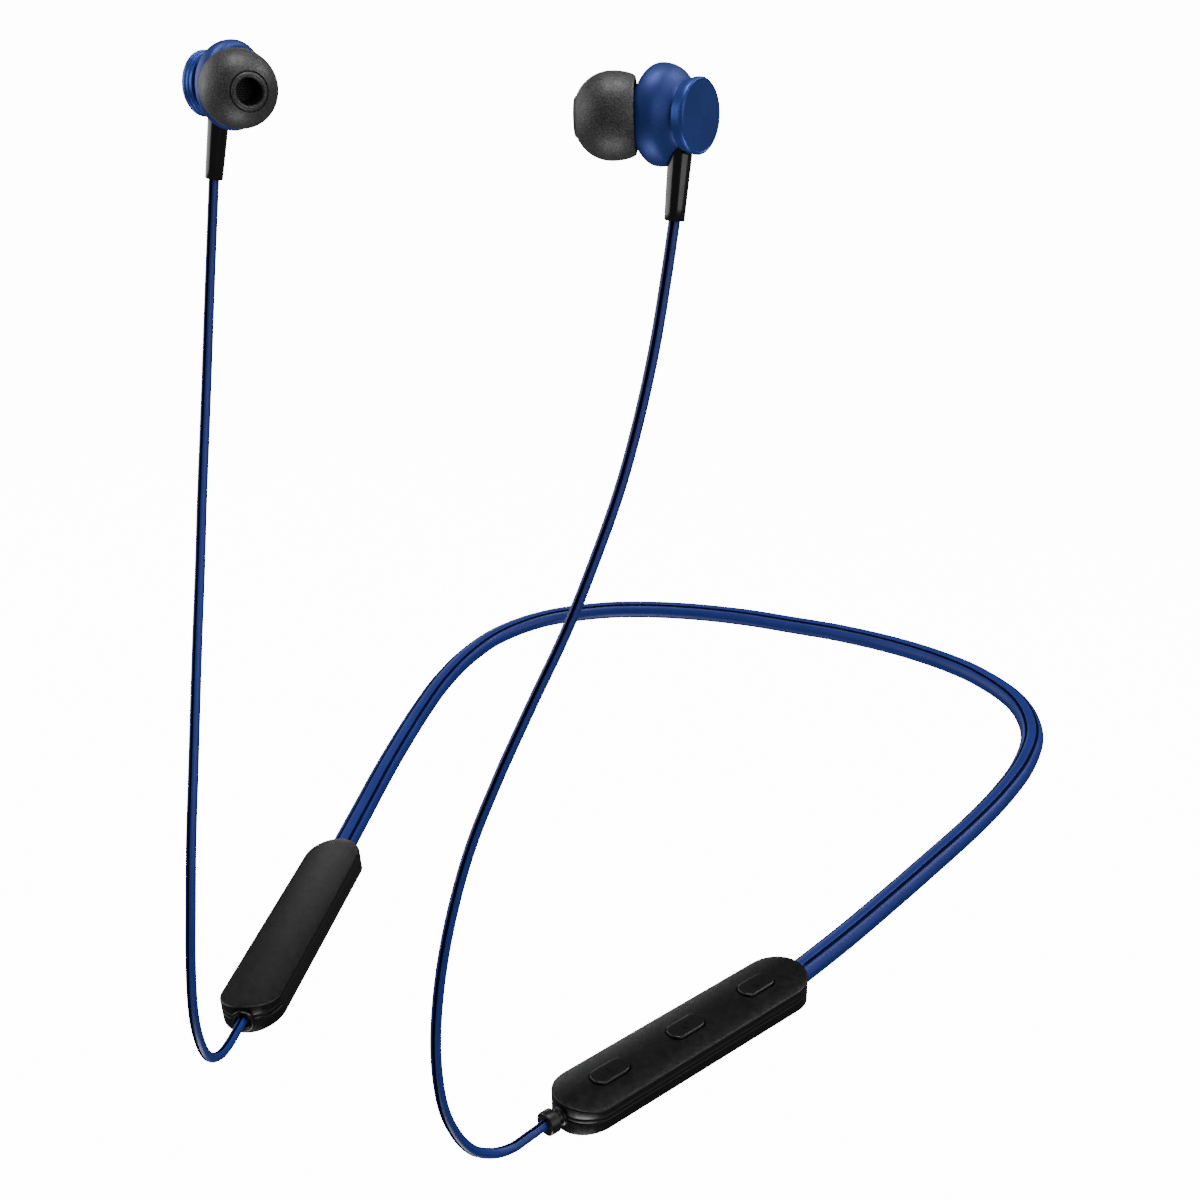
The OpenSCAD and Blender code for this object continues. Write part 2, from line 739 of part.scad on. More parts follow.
COIL_R = 2.4;
COIL_WALL = 0.3;
COIL_T = 0.8;
module voice_coil(side) {
    color(COPPER)
        in_bud(side)
            translate([0, 0, DRIVER_FRONT - FILM_T - COIL_T])
                difference() {
                    cylinder(h = COIL_T, r = COIL_R, $fn = ROUND);
                    translate([0, 0, -OVER])
                        cylinder(h = COIL_T + 2 * OVER, r = COIL_R - COIL_WALL, $fn = ROUND);
                }
}

FRAME_BACK = -1.5;
FRAME_WALL = 0.4;
module driver_frame(side) {
    color(STEEL)
        in_bud(side)
            difference() {
                translate([0, 0, FRAME_BACK])
                    cylinder(h = DRIVER_FRONT - FRAME_BACK, r = DRIVER_R, $fn = ROUND);
                translate([0, 0, FRAME_BACK + FRAME_WALL])
                    cylinder(h = DRIVER_FRONT - FRAME_BACK + OVER, r = DRIVER_R - FRAME_WALL, $fn = ROUND);
            }
}

DRIVER_MAGNET_R = 3;
DRIVER_MAGNET_T = 1;
module driver_magnet(side) {
    color(STEEL)
        in_bud(side)
            translate([0, 0, FRAME_BACK - DRIVER_MAGNET_T])
                cylinder(h = DRIVER_MAGNET_T, r = DRIVER_MAGNET_R, $fn = ROUND);
}

// A stem's outline, grown all round by grow: the stem's own when grow is 0, and its socket's
module stem_outline(ends, grow) {
    along(ends[1], ends[0])
        cylinder(h = norm(ends[1] - ends[0]) + grow, d1 = stem_end_d + 2 * grow,
            d2 = STEM_TOP_D + 2 * grow, $fn = ROUND);
}

// The rear half of the housing: a spool from the flange in to the waist
SPOOL = [[6.98, 0], [6.95, -0.5], [6.86, -1], [6.68, -1.5], [6.42, -2], [6.08, -2.4], [5.65, -2.8],
    [5.15, -3.2], [4.75, -3.6], [4.5, -3.9]];
SPOOL_WIDEST = 6.98;
THROAT_R = 3.6;
module rear_housing(side, ends) {
    waist = waist_d / 2;
    slope = [for (p = SPOOL) [p[0] + flange_d / 2 - SPOOL_WIDEST, p[1]]];
    color(BLUE)
        difference() {
            in_bud(side)
                rotate_extrude($fn = ROUND)
                    polygon(concat(slope, [[waist, WAIST], [THROAT_R, WAIST],
                        [THROAT_R, FRAME_BACK - DRIVER_MAGNET_T], [DRIVER_R + SNUG, FRAME_BACK - SNUG],
                        [DRIVER_R + SNUG, 0]]));
            stem_outline(ends, SNUG);
        }
}

CAP_MAGNET_D = 7;
CAP_MAGNET_T = 1.1;
module cap_magnet(side) {
    color(STEEL)
        in_bud(side)
            translate([0, 0, CAP_FACE + SHELL])
                cylinder(h = CAP_MAGNET_T, d = CAP_MAGNET_D, $fn = ROUND);
}

// The metal disc on the outside of an earbud, with stepped rings round its edge and a short neck.
// Each rim point is how far in from the widest radius and how far behind the face.
CAP_RIM = [[0.3, 0], [0, 0.3], [0, 0.85], [0.15, 0.95], [0.15, 1.4], [0.3, 1.5]];
module back_cap(side) {
    outer = cap_d / 2;
    neck = waist_d / 2 - FREE;
    pocket = CAP_MAGNET_D / 2 + SNUG;
    rim = [for (p = CAP_RIM) [outer - p[0], CAP_FACE + p[1]]];
    inside = CAP_FACE + SHELL;
    color(BLUE)
        in_bud(side)
            rotate_extrude($fn = ROUND)
                polygon(concat([[0, CAP_FACE]], rim, [[rim[5][0], CAP_REAR], [neck, CAP_REAR],
                    [neck, WAIST], [pocket, WAIST], [pocket, inside], [0, inside]]));
}

// The stem: a tapered tube that the cord runs up into, cut round under the cap
module stem(side, ends) {
    color(BLACK)
        difference() {
            stem_outline(ends, 0);
            along(ends[1], ends[0])
                translate([0, 0, -OVER])
                    cylinder(h = norm(ends[1] - ends[0]) + 2 * OVER, r = GLAND_BORE_R, $fn = SMALL_ROUND);
            in_bud(side)
                translate([0, 0, CAP_FACE - STEM_TOP_D])
                    cylinder(h = WAIST + SNUG - CAP_FACE + STEM_TOP_D, r = cap_d / 2 + FREE, $fn = ROUND);
        }
}

module cord(route) {
    smooth = smooth_route(route, CORD_STEPS);
    section = [for (j = [0 : CORD_SIDES - 1])
        cord_d / 2 * [cos(360 * j / CORD_SIDES), sin(360 * j / CORD_SIDES)]];
    color(BLUE)
        cord_sweep(smooth, section);
}

// A cord's rings keep one level direction, so that the sweep also passes upright stretches
CORD_SIDE = [1, 0, 0];
function cord_ring(at, along, section) =
    let (up = unit(cross(along, CORD_SIDE)))
    let (across = cross(up, along))
    [for (s = section) at + across * s[0] + up * s[1]];

module cord_sweep(route, section) {
    n = len(section);
    count = len(route);
    corners = [for (i = [0 : count - 1]) each cord_ring(route[i], tangent(route, i), section)];
    start = [for (j = [n - 1 : -1 : 0]) j];
    finish = [for (j = [0 : n - 1]) (count - 1) * n + j];
    polyhedron(corners, concat([start, finish], flipped(walls(count, n, 0))));
}

neckband_sleeve();
neckband_wire();
control_top_shell();
control_bottom_shell();
plus_button();
power_button();
minus_button();
plus_plunger();
power_plunger();
minus_plunger();
tact_switches();
control_board();
bluetooth_chip();
microphone();
status_light();
usb_socket();
port_cover();
control_gland();
battery_top_shell();
battery_bottom_shell();
battery_cell();
foam_pad();
battery_board();
battery_gland();
ear_tip(1);  // left_ear_tip
nozzle_mesh(1);  // left_nozzle_mesh
front_housing(1);  // left_front_housing
diaphragm(1);  // left_diaphragm
voice_coil(1);  // left_voice_coil
driver_frame(1);  // left_driver_frame
driver_magnet(1);  // left_driver_magnet
rear_housing(1, LEFT_STEM);  // left_rear_housing
cap_magnet(1);  // left_cap_magnet
back_cap(1);  // left_back_cap
stem(1, LEFT_STEM);  // left_stem
cord(LEFT_ROUTE);  // left_cord
ear_tip(-1);  // right_ear_tip
nozzle_mesh(-1);  // right_nozzle_mesh
front_housing(-1);  // right_front_housing
diaphragm(-1);  // right_diaphragm
voice_coil(-1);  // right_voice_coil
driver_frame(-1);  // right_driver_frame
driver_magnet(-1);  // right_driver_magnet
rear_housing(-1, RIGHT_STEM);  // right_rear_housing
cap_magnet(-1);  // right_cap_magnet
back_cap(-1);  // right_back_cap
stem(-1, RIGHT_STEM);  // right_stem
cord(RIGHT_ROUTE);  // right_cord
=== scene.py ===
import json
import math

import bpy
from mathutils import Matrix, Vector, geometry


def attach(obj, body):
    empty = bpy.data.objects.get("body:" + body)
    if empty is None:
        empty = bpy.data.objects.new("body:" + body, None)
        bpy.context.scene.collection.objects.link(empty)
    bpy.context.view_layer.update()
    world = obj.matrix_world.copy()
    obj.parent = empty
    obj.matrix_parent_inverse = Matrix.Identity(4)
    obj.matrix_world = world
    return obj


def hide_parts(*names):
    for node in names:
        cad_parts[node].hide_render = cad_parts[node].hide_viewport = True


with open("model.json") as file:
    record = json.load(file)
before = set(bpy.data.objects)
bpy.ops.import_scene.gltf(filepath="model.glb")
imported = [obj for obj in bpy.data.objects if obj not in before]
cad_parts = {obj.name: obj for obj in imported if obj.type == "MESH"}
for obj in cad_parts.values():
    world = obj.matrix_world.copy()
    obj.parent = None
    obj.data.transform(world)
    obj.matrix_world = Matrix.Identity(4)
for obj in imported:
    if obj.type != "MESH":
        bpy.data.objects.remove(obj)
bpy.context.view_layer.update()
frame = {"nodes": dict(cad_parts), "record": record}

# Lengths are in millimetres until a mesh is made, as in the part's source.
MM = 0.001

# ---- Driving dimensions, the same as the part's ----

BAND_WIDTH = 4.9
BAND_HEIGHT = 4.2
BAND_TURN = 6
GROOVE_DEPTH = 0.45
GROOVE_ANGLE = 60
CONTROL_LENGTH = 55.6
BATTERY_LENGTH = 58.6
POD_WIDTH = 11.6
POD_THICKNESS = 5.6
POD_CORNER = 5.7
POD_CROWN = 0.7
POD_WALL = 0.9
POD_ROOF = 1.7
POD_FLOOR = -1.9
POD_ENTRY = (51.3, -116.3, -23.1)
POD_YAW = 20.2
POD_PITCH = 4.6
POD_LEAN = 4.5
BUTTON_LENGTH = 7.3
BUTTON_WIDTH = 3.8
BUTTON_RISE = 0.5
BUTTON_START = 10.7
BUTTON_PITCH = 17.1
BUTTON_GAP = 0.16
BUTTON_BASE = 1
BUTTON_CORNER = 0.42
USB_PLACE = 36.3
LIGHT_PLACE = 22
LIGHT_LEVEL = 0.9
CORD_D = 1.7

LEFT_BUD = (39.6, -150.6, 126.2)
LEFT_TURN = (89.4, 0, -95)
RIGHT_BUD = (36.4, -151.6, 129.9)
RIGHT_TURN = (92.8, 0, -88)
TIP_AT = (4.54, -0.2, 5.4)
TIP_TURN = (2, 29, 0)

# Half of the neckband's centreline, from the nape to the control pod
BAND_HALF = [
    (0, 2.45, 0), (13, 2.3, 0), (27, 0.8, -0.3), (40, -2.5, -0.8), (51, -7, -1.7),
    (62, -15.3, -3.2), (68.6, -26.6, -5.3), (70.3, -39, -7.6), (69.2, -52, -10),
    (66.7, -64.3, -12.5), (63.3, -77.3, -15.1), (59.8, -89.6, -17.7), (55.8, -102.6, -20.6),
    (51.92, -114.6, -22.95), (51.3, -116.3, -23.1), (50.34, -118.92, -23.32),
]

# The cords' routes, from inside the stem down and round into the pod's front end
LEFT_ROUTE = [
    (42.36, -151.68, 114), (42.25, -151.8, 112), (41.9, -153.2, 105), (41.3, -155.5, 95),
    (40.3, -158.2, 85), (38.9, -161.4, 75), (36.9, -165.3, 65), (34.5, -169.5, 55),
    (31.6, -174.4, 45), (28.8, -179.1, 35), (26.4, -183.3, 25), (24.9, -186.5, 15),
    (24, -188.7, 5), (23.8, -190, -5), (24.2, -189.7, -14), (24.9, -187.8, -20.5),
    (26, -184.7, -25.6), (27.4, -181, -28.2), (28.7, -177.6, -29), (29.9, -174.4, -28.5),
    (31.06, -171.3, -27.85), (31.75, -169.44, -27.68),
]
RIGHT_ROUTE = [
    (-41.54, -151.48, 117.27), (-41.9, -151.5, 115.3), (-41.9, -153.2, 105),
    (-41.3, -155.5, 95), (-40.3, -158.2, 85), (-38.9, -161.4, 75), (-36.9, -165.3, 65),
    (-34.5, -169.5, 55), (-31.6, -174.4, 45), (-28.8, -179.1, 35), (-26.4, -183.3, 25),
    (-24.9, -186.5, 15), (-24, -188.7, 5), (-23.8, -190, -5), (-24.1, -190, -14),
    (-24.6, -188.5, -20.7), (-25.7, -185.6, -25.2), (-27.2, -181.6, -27.6),
    (-28.6, -177.9, -28.2), (-29.8, -174.8, -28.1), (-31, -171.6, -27.85),
    (-31.62, -169.8, -27.7),
]


# ---- Camera, at the photograph's angle ----

CAMERA_AT = (147.2, -362.6, 131.4)
CAMERA_AZIMUTH = 29
CAMERA_ELEVATION = 17.72
CAMERA_LENS = 49.25
CAMERA_SENSOR = 36


def make_camera():
    data = bpy.data.cameras.new("camera")
    data.lens = CAMERA_LENS
    data.sensor_width = CAMERA_SENSOR
    camera = bpy.data.objects.new("camera", data)
    camera.location = Vector(CAMERA_AT) * MM
    camera.rotation_euler = (math.radians(90 - CAMERA_ELEVATION), 0, math.radians(CAMERA_AZIMUTH))
    bpy.context.scene.collection.objects.link(camera)
    bpy.context.scene.camera = camera


make_camera()


# ---- Frames ----


def turned(angles):
    """A rotation given as OpenSCAD gives it: about x, then y, then z, in degrees."""
    x, y, z = (math.radians(a) for a in angles)
    return Matrix.Rotation(z, 4, "Z") @ Matrix.Rotation(y, 4, "Y") @ Matrix.Rotation(x, 4, "X")


def proper(matrix, side):
    """The matrix, or for side -1 its mirror image in x, with y turned round so that it stays a rotation."""
    if side > 0:
        return matrix
    return Matrix.Diagonal((-1, 1, 1, 1)) @ matrix @ Matrix.Diagonal((1, -1, 1, 1))


POD = Matrix.Translation(POD_ENTRY) @ turned((-POD_LEAN, POD_PITCH, -90 - POD_YAW))
BUD = {
    "left": Matrix.Translation(LEFT_BUD) @ turned(LEFT_TURN),
    "right": Matrix.Translation(RIGHT_BUD) @ turned(RIGHT_TURN),
}
NOZZLE = Matrix.Translation(TIP_AT) @ turned(TIP_TURN)
SIDE = {"left": 1, "right": -1}


def in_metres(matrix):
    m = matrix.copy()
    m.translation *= MM
    return m


def pod_frame(side):
    return in_metres(proper(POD, side))


def bud_frame(name):
    return in_metres(proper(BUD[name], SIDE[name]))


def nozzle_frame(name):
    return in_metres(proper(BUD[name] @ NOZZLE, SIDE[name]))


# ---- Mesh helpers ----

# Edges sharper than this, in degrees, are left unsmoothed
SHARP_ANGLE = 35


def add_piece(
    name, points, faces, material, body="band", place=None, replaces=(), sharp=SHARP_ANGLE
):
    """A mesh piece from points in mm, in the frame place, that rides on a body."""
    mesh = bpy.data.meshes.new(name)
    mesh.from_pydata([Vector(p) * MM for p in points], [], faces)
    mesh.update()
    mesh.validate()
    for polygon in mesh.polygons:
        polygon.use_smooth = True
    mesh.set_sharp_from_angle(angle=math.radians(sharp))
    obj = bpy.data.objects.new(name, mesh)
    bpy.context.scene.collection.objects.link(obj)
    if place is not None:
        obj.matrix_world = place
        bpy.context.view_layer.update()
    mesh.materials.append(material)
    finish_piece(obj, body, replaces)
    return obj


def finish_piece(obj, body, replaces):
    if replaces:
        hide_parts(*replaces)
    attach(obj, body)


def ring_faces(rings, n, base=0, inward=False):
    """Quads between rings of n points each."""
    faces = []
    for i in range(rings - 1):
        for j in range(n):
            k = (j + 1) % n
            quad = (base + i * n + j, base + i * n + k, base + (i + 1) * n + k, base + (i + 1) * n + j)
            faces.append(tuple(reversed(quad)) if inward else quad)
    return faces


def lathe(profile, sides=96):
    """Points and faces of a closed profile of (radius, height) turned about z.

    A profile that starts and ends on the axis has a point at each end of it."""
    on_axis = profile[0][0] == 0
    body = profile[1:-1] if on_axis else profile + profile[:1]
    points = []
    rows = body if on_axis else body[:-1]
    for r, z in rows:
        points += [(r * math.cos(a), r * math.sin(a), z) for a in circle(sides)]
    faces = ring_faces(len(rows), sides)
    if on_axis:
        first, last = len(points), len(points) + 1
        points += [(0, 0, profile[0][1]), (0, 0, profile[-1][1])]
        end = (len(rows) - 1) * sides
        for j in range(sides):
            k = (j + 1) % sides
            faces.append((first, k, j))
            faces.append((last, end + j, end + k))
    else:
        end = (len(rows) - 1) * sides
        for j in range(sides):
            k = (j + 1) % sides
            faces.append((end + j, end + k, k, j))
    return points, faces


def turned_over(faces):
    return [tuple(reversed(f)) for f in faces]


def circle(n):
    return [2 * math.pi * i / n for i in range(n)]


def round_loop(x, y, radius, sides):
    return [(x + radius * math.cos(a), y + radius * math.sin(a)) for a in circle(sides)]


def arc(cx, cy, r, start, end, steps):
    """Points round an arc, from start to end in degrees."""
    return [
        (
            cx + r * math.cos(math.radians(start + (end - start) * i / steps)),
            cy + r * math.sin(math.radians(start + (end - start) * i / steps)),
        )
        for i in range(steps + 1)
    ]


# ---- Sweeps ----


def smooth_route(points, steps):
    """A smooth curve through the points, with steps pieces between each two."""
    p = [Vector(q) for q in points]
    last = len(p) - 1
    out = []
    for i in range(last):
        p0, p1, p2, p3 = p[max(i - 1, 0)], p[i], p[i + 1], p[min(i + 2, last)]
        for k in range(steps):
            t = k / steps
            out.append(
                0.5
                * (
                    2 * p1
                    + (p2 - p0) * t
                    + (2 * p0 - 5 * p1 + 4 * p2 - p3) * t * t
                    + (3 * p1 - p0 - 3 * p2 + p3) * t**3
                )
            )
    return out + [p[last]]


def tangent(path, i):
    return (path[min(i + 1, len(path) - 1)] - path[max(i - 1, 0)]).normalized()


def sweep(path, section, frame_at):
    """A solid sweep of the section (across, over), counter-clockwise seen from ahead."""
    n = len(section)
    points = []
    for i, at in enumerate(path):
        across, over = frame_at(i)
        points += [at + across * s[0] + over * s[1] for s in section]
    faces = ring_faces(len(path), n)
    faces.append(tuple(reversed(range(n))))
    faces.append(tuple((len(path) - 1) * n + j for j in range(n)))
    return points, faces


def shade_grooves(obj, section, deep, material):
    """The faces that lie wholly in a swept piece's grooves get the second material, a near-black blue that
    paints in the shade of the grooves.
    """
    obj.data.materials.append(material)
    for polygon in obj.data.polygons:
        if len(polygon.vertices) == 4 and all(v % section in deep for v in polygon.vertices):
            polygon.material_index = 1


# ---- Materials ----


class Nodes:
    """Short calls for building one material's nodes."""

    def __init__(self, name):
        self.material = bpy.data.materials.new(name)
        self.material.use_nodes = True
        self.tree = self.material.node_tree
        self.shader = self.tree.nodes["Principled BSDF"]
        self.coordinates = self.add("ShaderNodeTexCoord").outputs["Object"]

    def add(self, kind, **values):
        node = self.tree.nodes.new(kind)
        for key, value in values.items():
            if hasattr(node, key):
                setattr(node, key, value)
            else:
                node.inputs[key.replace("_", " ")].default_value = value
        return node

    def link(self, source, target):
        self.tree.links.new(source, target)

    def set(self, **values):
        for key, value in values.items():
            self.shader.inputs[key.replace("_", " ")].default_value = value

    def noise(self, scale, detail=2, roughness=0.5, stretch=None):
        """Noise whose grain is about 1 / scale metres across."""
        node = self.add("ShaderNodeTexNoise", Scale=scale, Detail=detail, Roughness=roughness)
        source = self.coordinates
        if stretch is not None:
            mapping = self.add("ShaderNodeMapping")
            mapping.inputs["Scale"].default_value = stretch
            self.link(source, mapping.inputs["Vector"])
            source = mapping.outputs["Vector"]
        self.link(source, node.inputs["Vector"])
        return node.outputs["Fac"]

    def ramp(self, source, low, high, start=0.3, end=0.7):
        """A number from low to high as the source goes from start to end."""
        node = self.add("ShaderNodeMapRange")
        node.inputs["From Min"].default_value = start
        node.inputs["From Max"].default_value = end
        node.inputs["To Min"].default_value = low
        node.inputs["To Max"].default_value = high
        self.link(source, node.inputs["Value"])
        return node.outputs["Result"]

    def math(self, operation, *sources):
        node = self.add("ShaderNodeMath", operation=operation)
        for source, entry in zip(sources, node.inputs):
            self.link(source, entry)
        return node.outputs[0]

    def mix(self, factor, first, second):
        node = self.add("ShaderNodeMix", data_type="RGBA")
        node.inputs["A"].default_value = (*first, 1)
        node.inputs["B"].default_value = (*second, 1)
        self.link(factor, node.inputs["Factor"])
        return node.outputs["Result"]

    def bump(self, height, strength, distance):
        node = self.add("ShaderNodeBump", Strength=strength, Distance=distance)
        self.link(height, node.inputs["Height"])
        return node.outputs["Normal"]

    def finish(self, colour, roughness, normal):
        self.link(colour, self.shader.inputs["Base Color"])
        self.link(roughness, self.shader.inputs["Roughness"])
        self.link(normal, self.shader.inputs["Normal"])
        return self.material


# Depth in metres of the relief on rubber and plastic, and on metal
GRAIN_DEPTH = 0.00005
SPECKLE_DEPTH = 0.00006
FINISH_DEPTH = 0.00002


def moulded(name, dark, light, rough, grain, bump, coat, specular):
    """Moulded plastic or rubber: a slow drift of colour and a fine even grain."""
    n = Nodes(name)
    drift = n.ramp(n.noise(120, 3), 0, 1)
    fine = n.noise(grain, 3, 0.6)
    colour = n.mix(drift, dark, light)
    roughness = n.ramp(fine, rough - 0.06, rough + 0.06)
    normal = n.bump(fine, bump, GRAIN_DEPTH)
    n.set(Coat_Weight=coat, Coat_Roughness=0.25, Specular_IOR_Level=specular)
    return n.finish(colour, roughness, normal)


def speckled(name, dark, pale, rough, grain, bump, specular):
    """Matte rubber or fine-textured plastic with a small pale speckle."""
    n = Nodes(name)
    fine = n.noise(grain, 2, 0.7)
    colour = n.mix(n.ramp(fine, 0, 1, 0.42, 0.66), dark, pale)
    roughness = n.ramp(n.noise(900, 2), rough - 0.06, rough + 0.06)
    normal = n.bump(fine, bump, SPECKLE_DEPTH)
    n.set(Specular_IOR_Level=specular)
    return n.finish(colour, roughness, normal)


def anodised(name, colour_a, colour_b, rough):
    """Blue anodised aluminium, bead blasted."""
    n = Nodes(name)
    drift = n.ramp(n.noise(260, 3), 0, 1)
    fine = n.noise(9000, 2)
    colour = n.mix(drift, colour_a, colour_b)
    roughness = n.ramp(fine, rough - 0.04, rough + 0.05)
    n.set(Metallic=0.45, Specular_IOR_Level=0.4)
    return n.finish(colour, roughness, n.bump(fine, 0.15, FINISH_DEPTH))


def spun(name, colour_a, colour_b, rough):
    """Anodised aluminium turned on a lathe: fine rings round the piece's own z axis."""
    n = Nodes(name)
    split = n.add("ShaderNodeSeparateXYZ")
    n.link(n.coordinates, split.inputs["Vector"])
    x, y, z = (split.outputs[axis] for axis in "XYZ")
    radius = n.math("SQRT", n.math("ADD", n.math("MULTIPLY", x, x), n.math("MULTIPLY", y, y)))
    rings = n.add("ShaderNodeTexNoise", noise_dimensions="1D", Scale=7000, Detail=2, Roughness=0.6)
    n.link(n.math("ADD", radius, z), rings.inputs["W"])
    fine = rings.outputs["Fac"]
    tangent_node = n.add("ShaderNodeTangent", direction_type="RADIAL", axis="Z")
    n.link(tangent_node.outputs[0], n.shader.inputs["Tangent"])
    colour = n.mix(n.ramp(fine, 0, 1), colour_a, colour_b)
    roughness = n.ramp(fine, rough - 0.03, rough + 0.04)
    n.set(Metallic=0.7, Anisotropic=0.3)
    return n.finish(colour, roughness, n.bump(fine, 0.06, FINISH_DEPTH))


def metal(name, colour_a, colour_b, rough):
    """Bare or brushed metal, its grain drawn out along z."""
    n = Nodes(name)
    fine = n.noise(2500, 3, stretch=(1, 1, 8))
    colour = n.mix(n.ramp(fine, 0, 1), colour_a, colour_b)
    roughness = n.ramp(fine, rough - 0.08, rough + 0.08)
    n.set(Metallic=1.0)
    return n.finish(colour, roughness, n.bump(fine, 0.2, FINISH_DEPTH))


def grey(value):
    return (value, value, value)


# Dark and light colour, roughness, grain, relief, coat, specular level
MOULDED = {
    "band_blue": ((0.0105, 0.0225, 0.165), (0.0135, 0.028, 0.2), 0.44, 3000, 0.1, 0.0, 0.3),
    # Painted shade: a near-black blue laid on the faces of the band's and cords' grooves, standing in for
    # the shadow in them
    "groove_painted_shade": ((0.0015, 0.003, 0.02), (0.0025, 0.005, 0.03), 0.6, 3000, 0.1, 0.0, 0.05),
    "cord_blue": ((0.0115, 0.026, 0.19), (0.0145, 0.032, 0.225), 0.42, 3500, 0.1, 0.0, 0.35),
    "button_black": (grey(0.003), grey(0.005), 0.3, 6500, 0.15, 0.0, 0.45),
    "gland_black": (grey(0.004), grey(0.007), 0.34, 3000, 0.25, 0.0, 0.4),
    "cover_rubber": (grey(0.006), grey(0.01), 0.55, 3000, 0.4, 0.0, 0.5),
    "stem_black": (grey(0.0035), grey(0.005), 0.16, 1500, 0.02, 0.4, 0.5),
    "chip_black": ((0.01, 0.01, 0.011), (0.016, 0.016, 0.017), 0.5, 6000, 0.4, 0.0, 0.5),
    "foam": (grey(0.012), grey(0.03), 0.9, 2500, 1.0, 0.0, 0.5),
    "board_green": ((0.006, 0.05, 0.018), (0.012, 0.085, 0.03), 0.35, 1800, 0.2, 0.0, 0.5),
    "diaphragm_film": ((0.45, 0.42, 0.33), (0.55, 0.5, 0.4), 0.3, 2000, 0.2, 0.0, 0.5),
    "light_lens": ((0.5, 0.55, 0.62), (0.6, 0.65, 0.72), 0.12, 1500, 0.05, 0.8, 0.5),
}
# Dark and pale colour, roughness, grain, relief, specular level
SPECKLED = {
    "pod_black": (grey(0.0016), grey(0.007), 0.34, 6500, 0.5, 0.32),
    "tip_silicone": ((0.014, 0.014, 0.0145), (0.08, 0.08, 0.082), 0.5, 5200, 0.55, 0.55),
}
# Two shades and a roughness
ANODISED = {
    "housing_blue": ((0.02, 0.042, 0.21), (0.026, 0.052, 0.25), 0.48),
}
SPUN = {
    "cap_blue": ((0.044, 0.086, 0.37), (0.052, 0.102, 0.43), 0.36),
}
METAL = {
    "steel": ((0.4, 0.41, 0.43), (0.58, 0.59, 0.61), 0.34),
    "mesh_dark": ((0.012, 0.012, 0.013), (0.03, 0.03, 0.032), 0.4),
    "copper": ((0.45, 0.2, 0.09), (0.62, 0.3, 0.14), 0.34),
    "cell_foil": ((0.5, 0.51, 0.53), (0.66, 0.67, 0.69), 0.4),
}


def make_materials():
    kinds = ((moulded, MOULDED), (speckled, SPECKLED), (anodised, ANODISED), (spun, SPUN), (metal, METAL))
    return {name: make(name, *values) for make, table in kinds for name, values in table.items()}


MATERIAL = make_materials()


def paint_cad():
    """Every CAD node gets its slot's material; those that are replaced below keep it unseen."""
    slots = {entry["node"]: entry["material_slot"] for entry in frame["record"]["subparts"]}
    for name, obj in frame["nodes"].items():
        obj.data.materials.clear()
        obj.data.materials.append(MATERIAL[slots[name]])


paint_cad()


# ---- Cords ----

CORD_STEPS = 8
CORD_GROOVE = 0.36
CORD_GROOVE_HALF = 0.25
CORD_GROOVE_FACES = 4
# The cords' grooves face this many degrees round from straight ahead
CORD_TURN = 8


def grooved_round(radius, depth, half_width, steps=7):
    """A round section with a rounded groove at the top and at the bottom."""
    edge = math.degrees(math.asin(half_width / radius))
    lip = radius * math.cos(math.radians(edge))
    side = arc(0, 0, radius, 90 - edge, -90 + edge, 4 * steps)
    near, shallow = half_width * 0.55, lip - depth * 0.7
    groove = [(near, shallow), (0, lip - depth), (-near, shallow)]
    half = list(reversed(side)) + groove
    return half + [(-x, -y) for x, y in half]


def make_cord(name, route):
    path = smooth_route(route, CORD_STEPS)
    section = grooved_round(CORD_D / 2, CORD_GROOVE, CORD_GROOVE_HALF)
    turn = math.radians(CORD_TURN)
    side = Vector((math.cos(turn), math.sin(turn), 0))

    def frame_at(i):
        along = tangent(path, i)
        over = along.cross(side).normalized()
        return over.cross(along), over

    points, faces = sweep(path, section, frame_at)
    obj = add_piece(name, points, turned_over(faces), MATERIAL["cord_blue"], sharp=50)
    n = len(section)
    last = n // 2
    first = last - CORD_GROOVE_FACES
    deep = {k % n for k in range(first, last + 1)} | {(k + n // 2) % n for k in range(first, last + 1)}
    # The faces in the cord's grooves get the painted-shade material
    shade_grooves(obj, n, deep, MATERIAL["groove_painted_shade"])
    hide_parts(name.replace("_lead", "_cord"))


make_cord("left_lead", LEFT_ROUTE)
make_cord("right_lead", RIGHT_ROUTE)


# ---- Neckband ----

BAND_STEPS = 10
# Across a groove: degrees off its middle, and depth below the oval as a share of the full depth
GROOVE_SHAPE = [
    (-10, 0), (-8.4, 0.05), (-7.2, 0.3), (-5.2, 0.9), (-3, 1),
    (3, 1), (5.2, 0.9), (7.2, 0.3), (8.4, 0.05), (10, 0),
]


def oval(angle, grow=0.0):
    """A point of the neckband's oval grown by grow, at an angle round it."""
    a = math.radians(angle)
    return (BAND_WIDTH / 2 + grow) * math.cos(a), (BAND_HEIGHT / 2 + grow) * math.sin(a)


def band_section():
    """The oval, with two grooves along its top and two along its underside."""
    half = [oval(a) for a in (0, 10, 20, 30, 40)]
    half += [oval(GROOVE_ANGLE + a, -GROOVE_DEPTH * share) for a, share in GROOVE_SHAPE]
    half += [oval(a) for a in (78, 90, 102)]
    half += [oval(180 - GROOVE_ANGLE + a, -GROOVE_DEPTH * share) for a, share in GROOVE_SHAPE]
    half += [oval(a) for a in (140, 150, 160, 170)]
    return half + [(-x, -y) for x, y in half]


def groove_corners(section):
    """Which corners of the section lie more than a quarter of the depth below the oval."""
    limit = 1 - GROOVE_DEPTH / 4 / (BAND_HEIGHT / 2)
    shares = [math.hypot(2 * x / BAND_WIDTH, 2 * y / BAND_HEIGHT) for x, y in section]
    return {k for k, share in enumerate(shares) if share < limit}


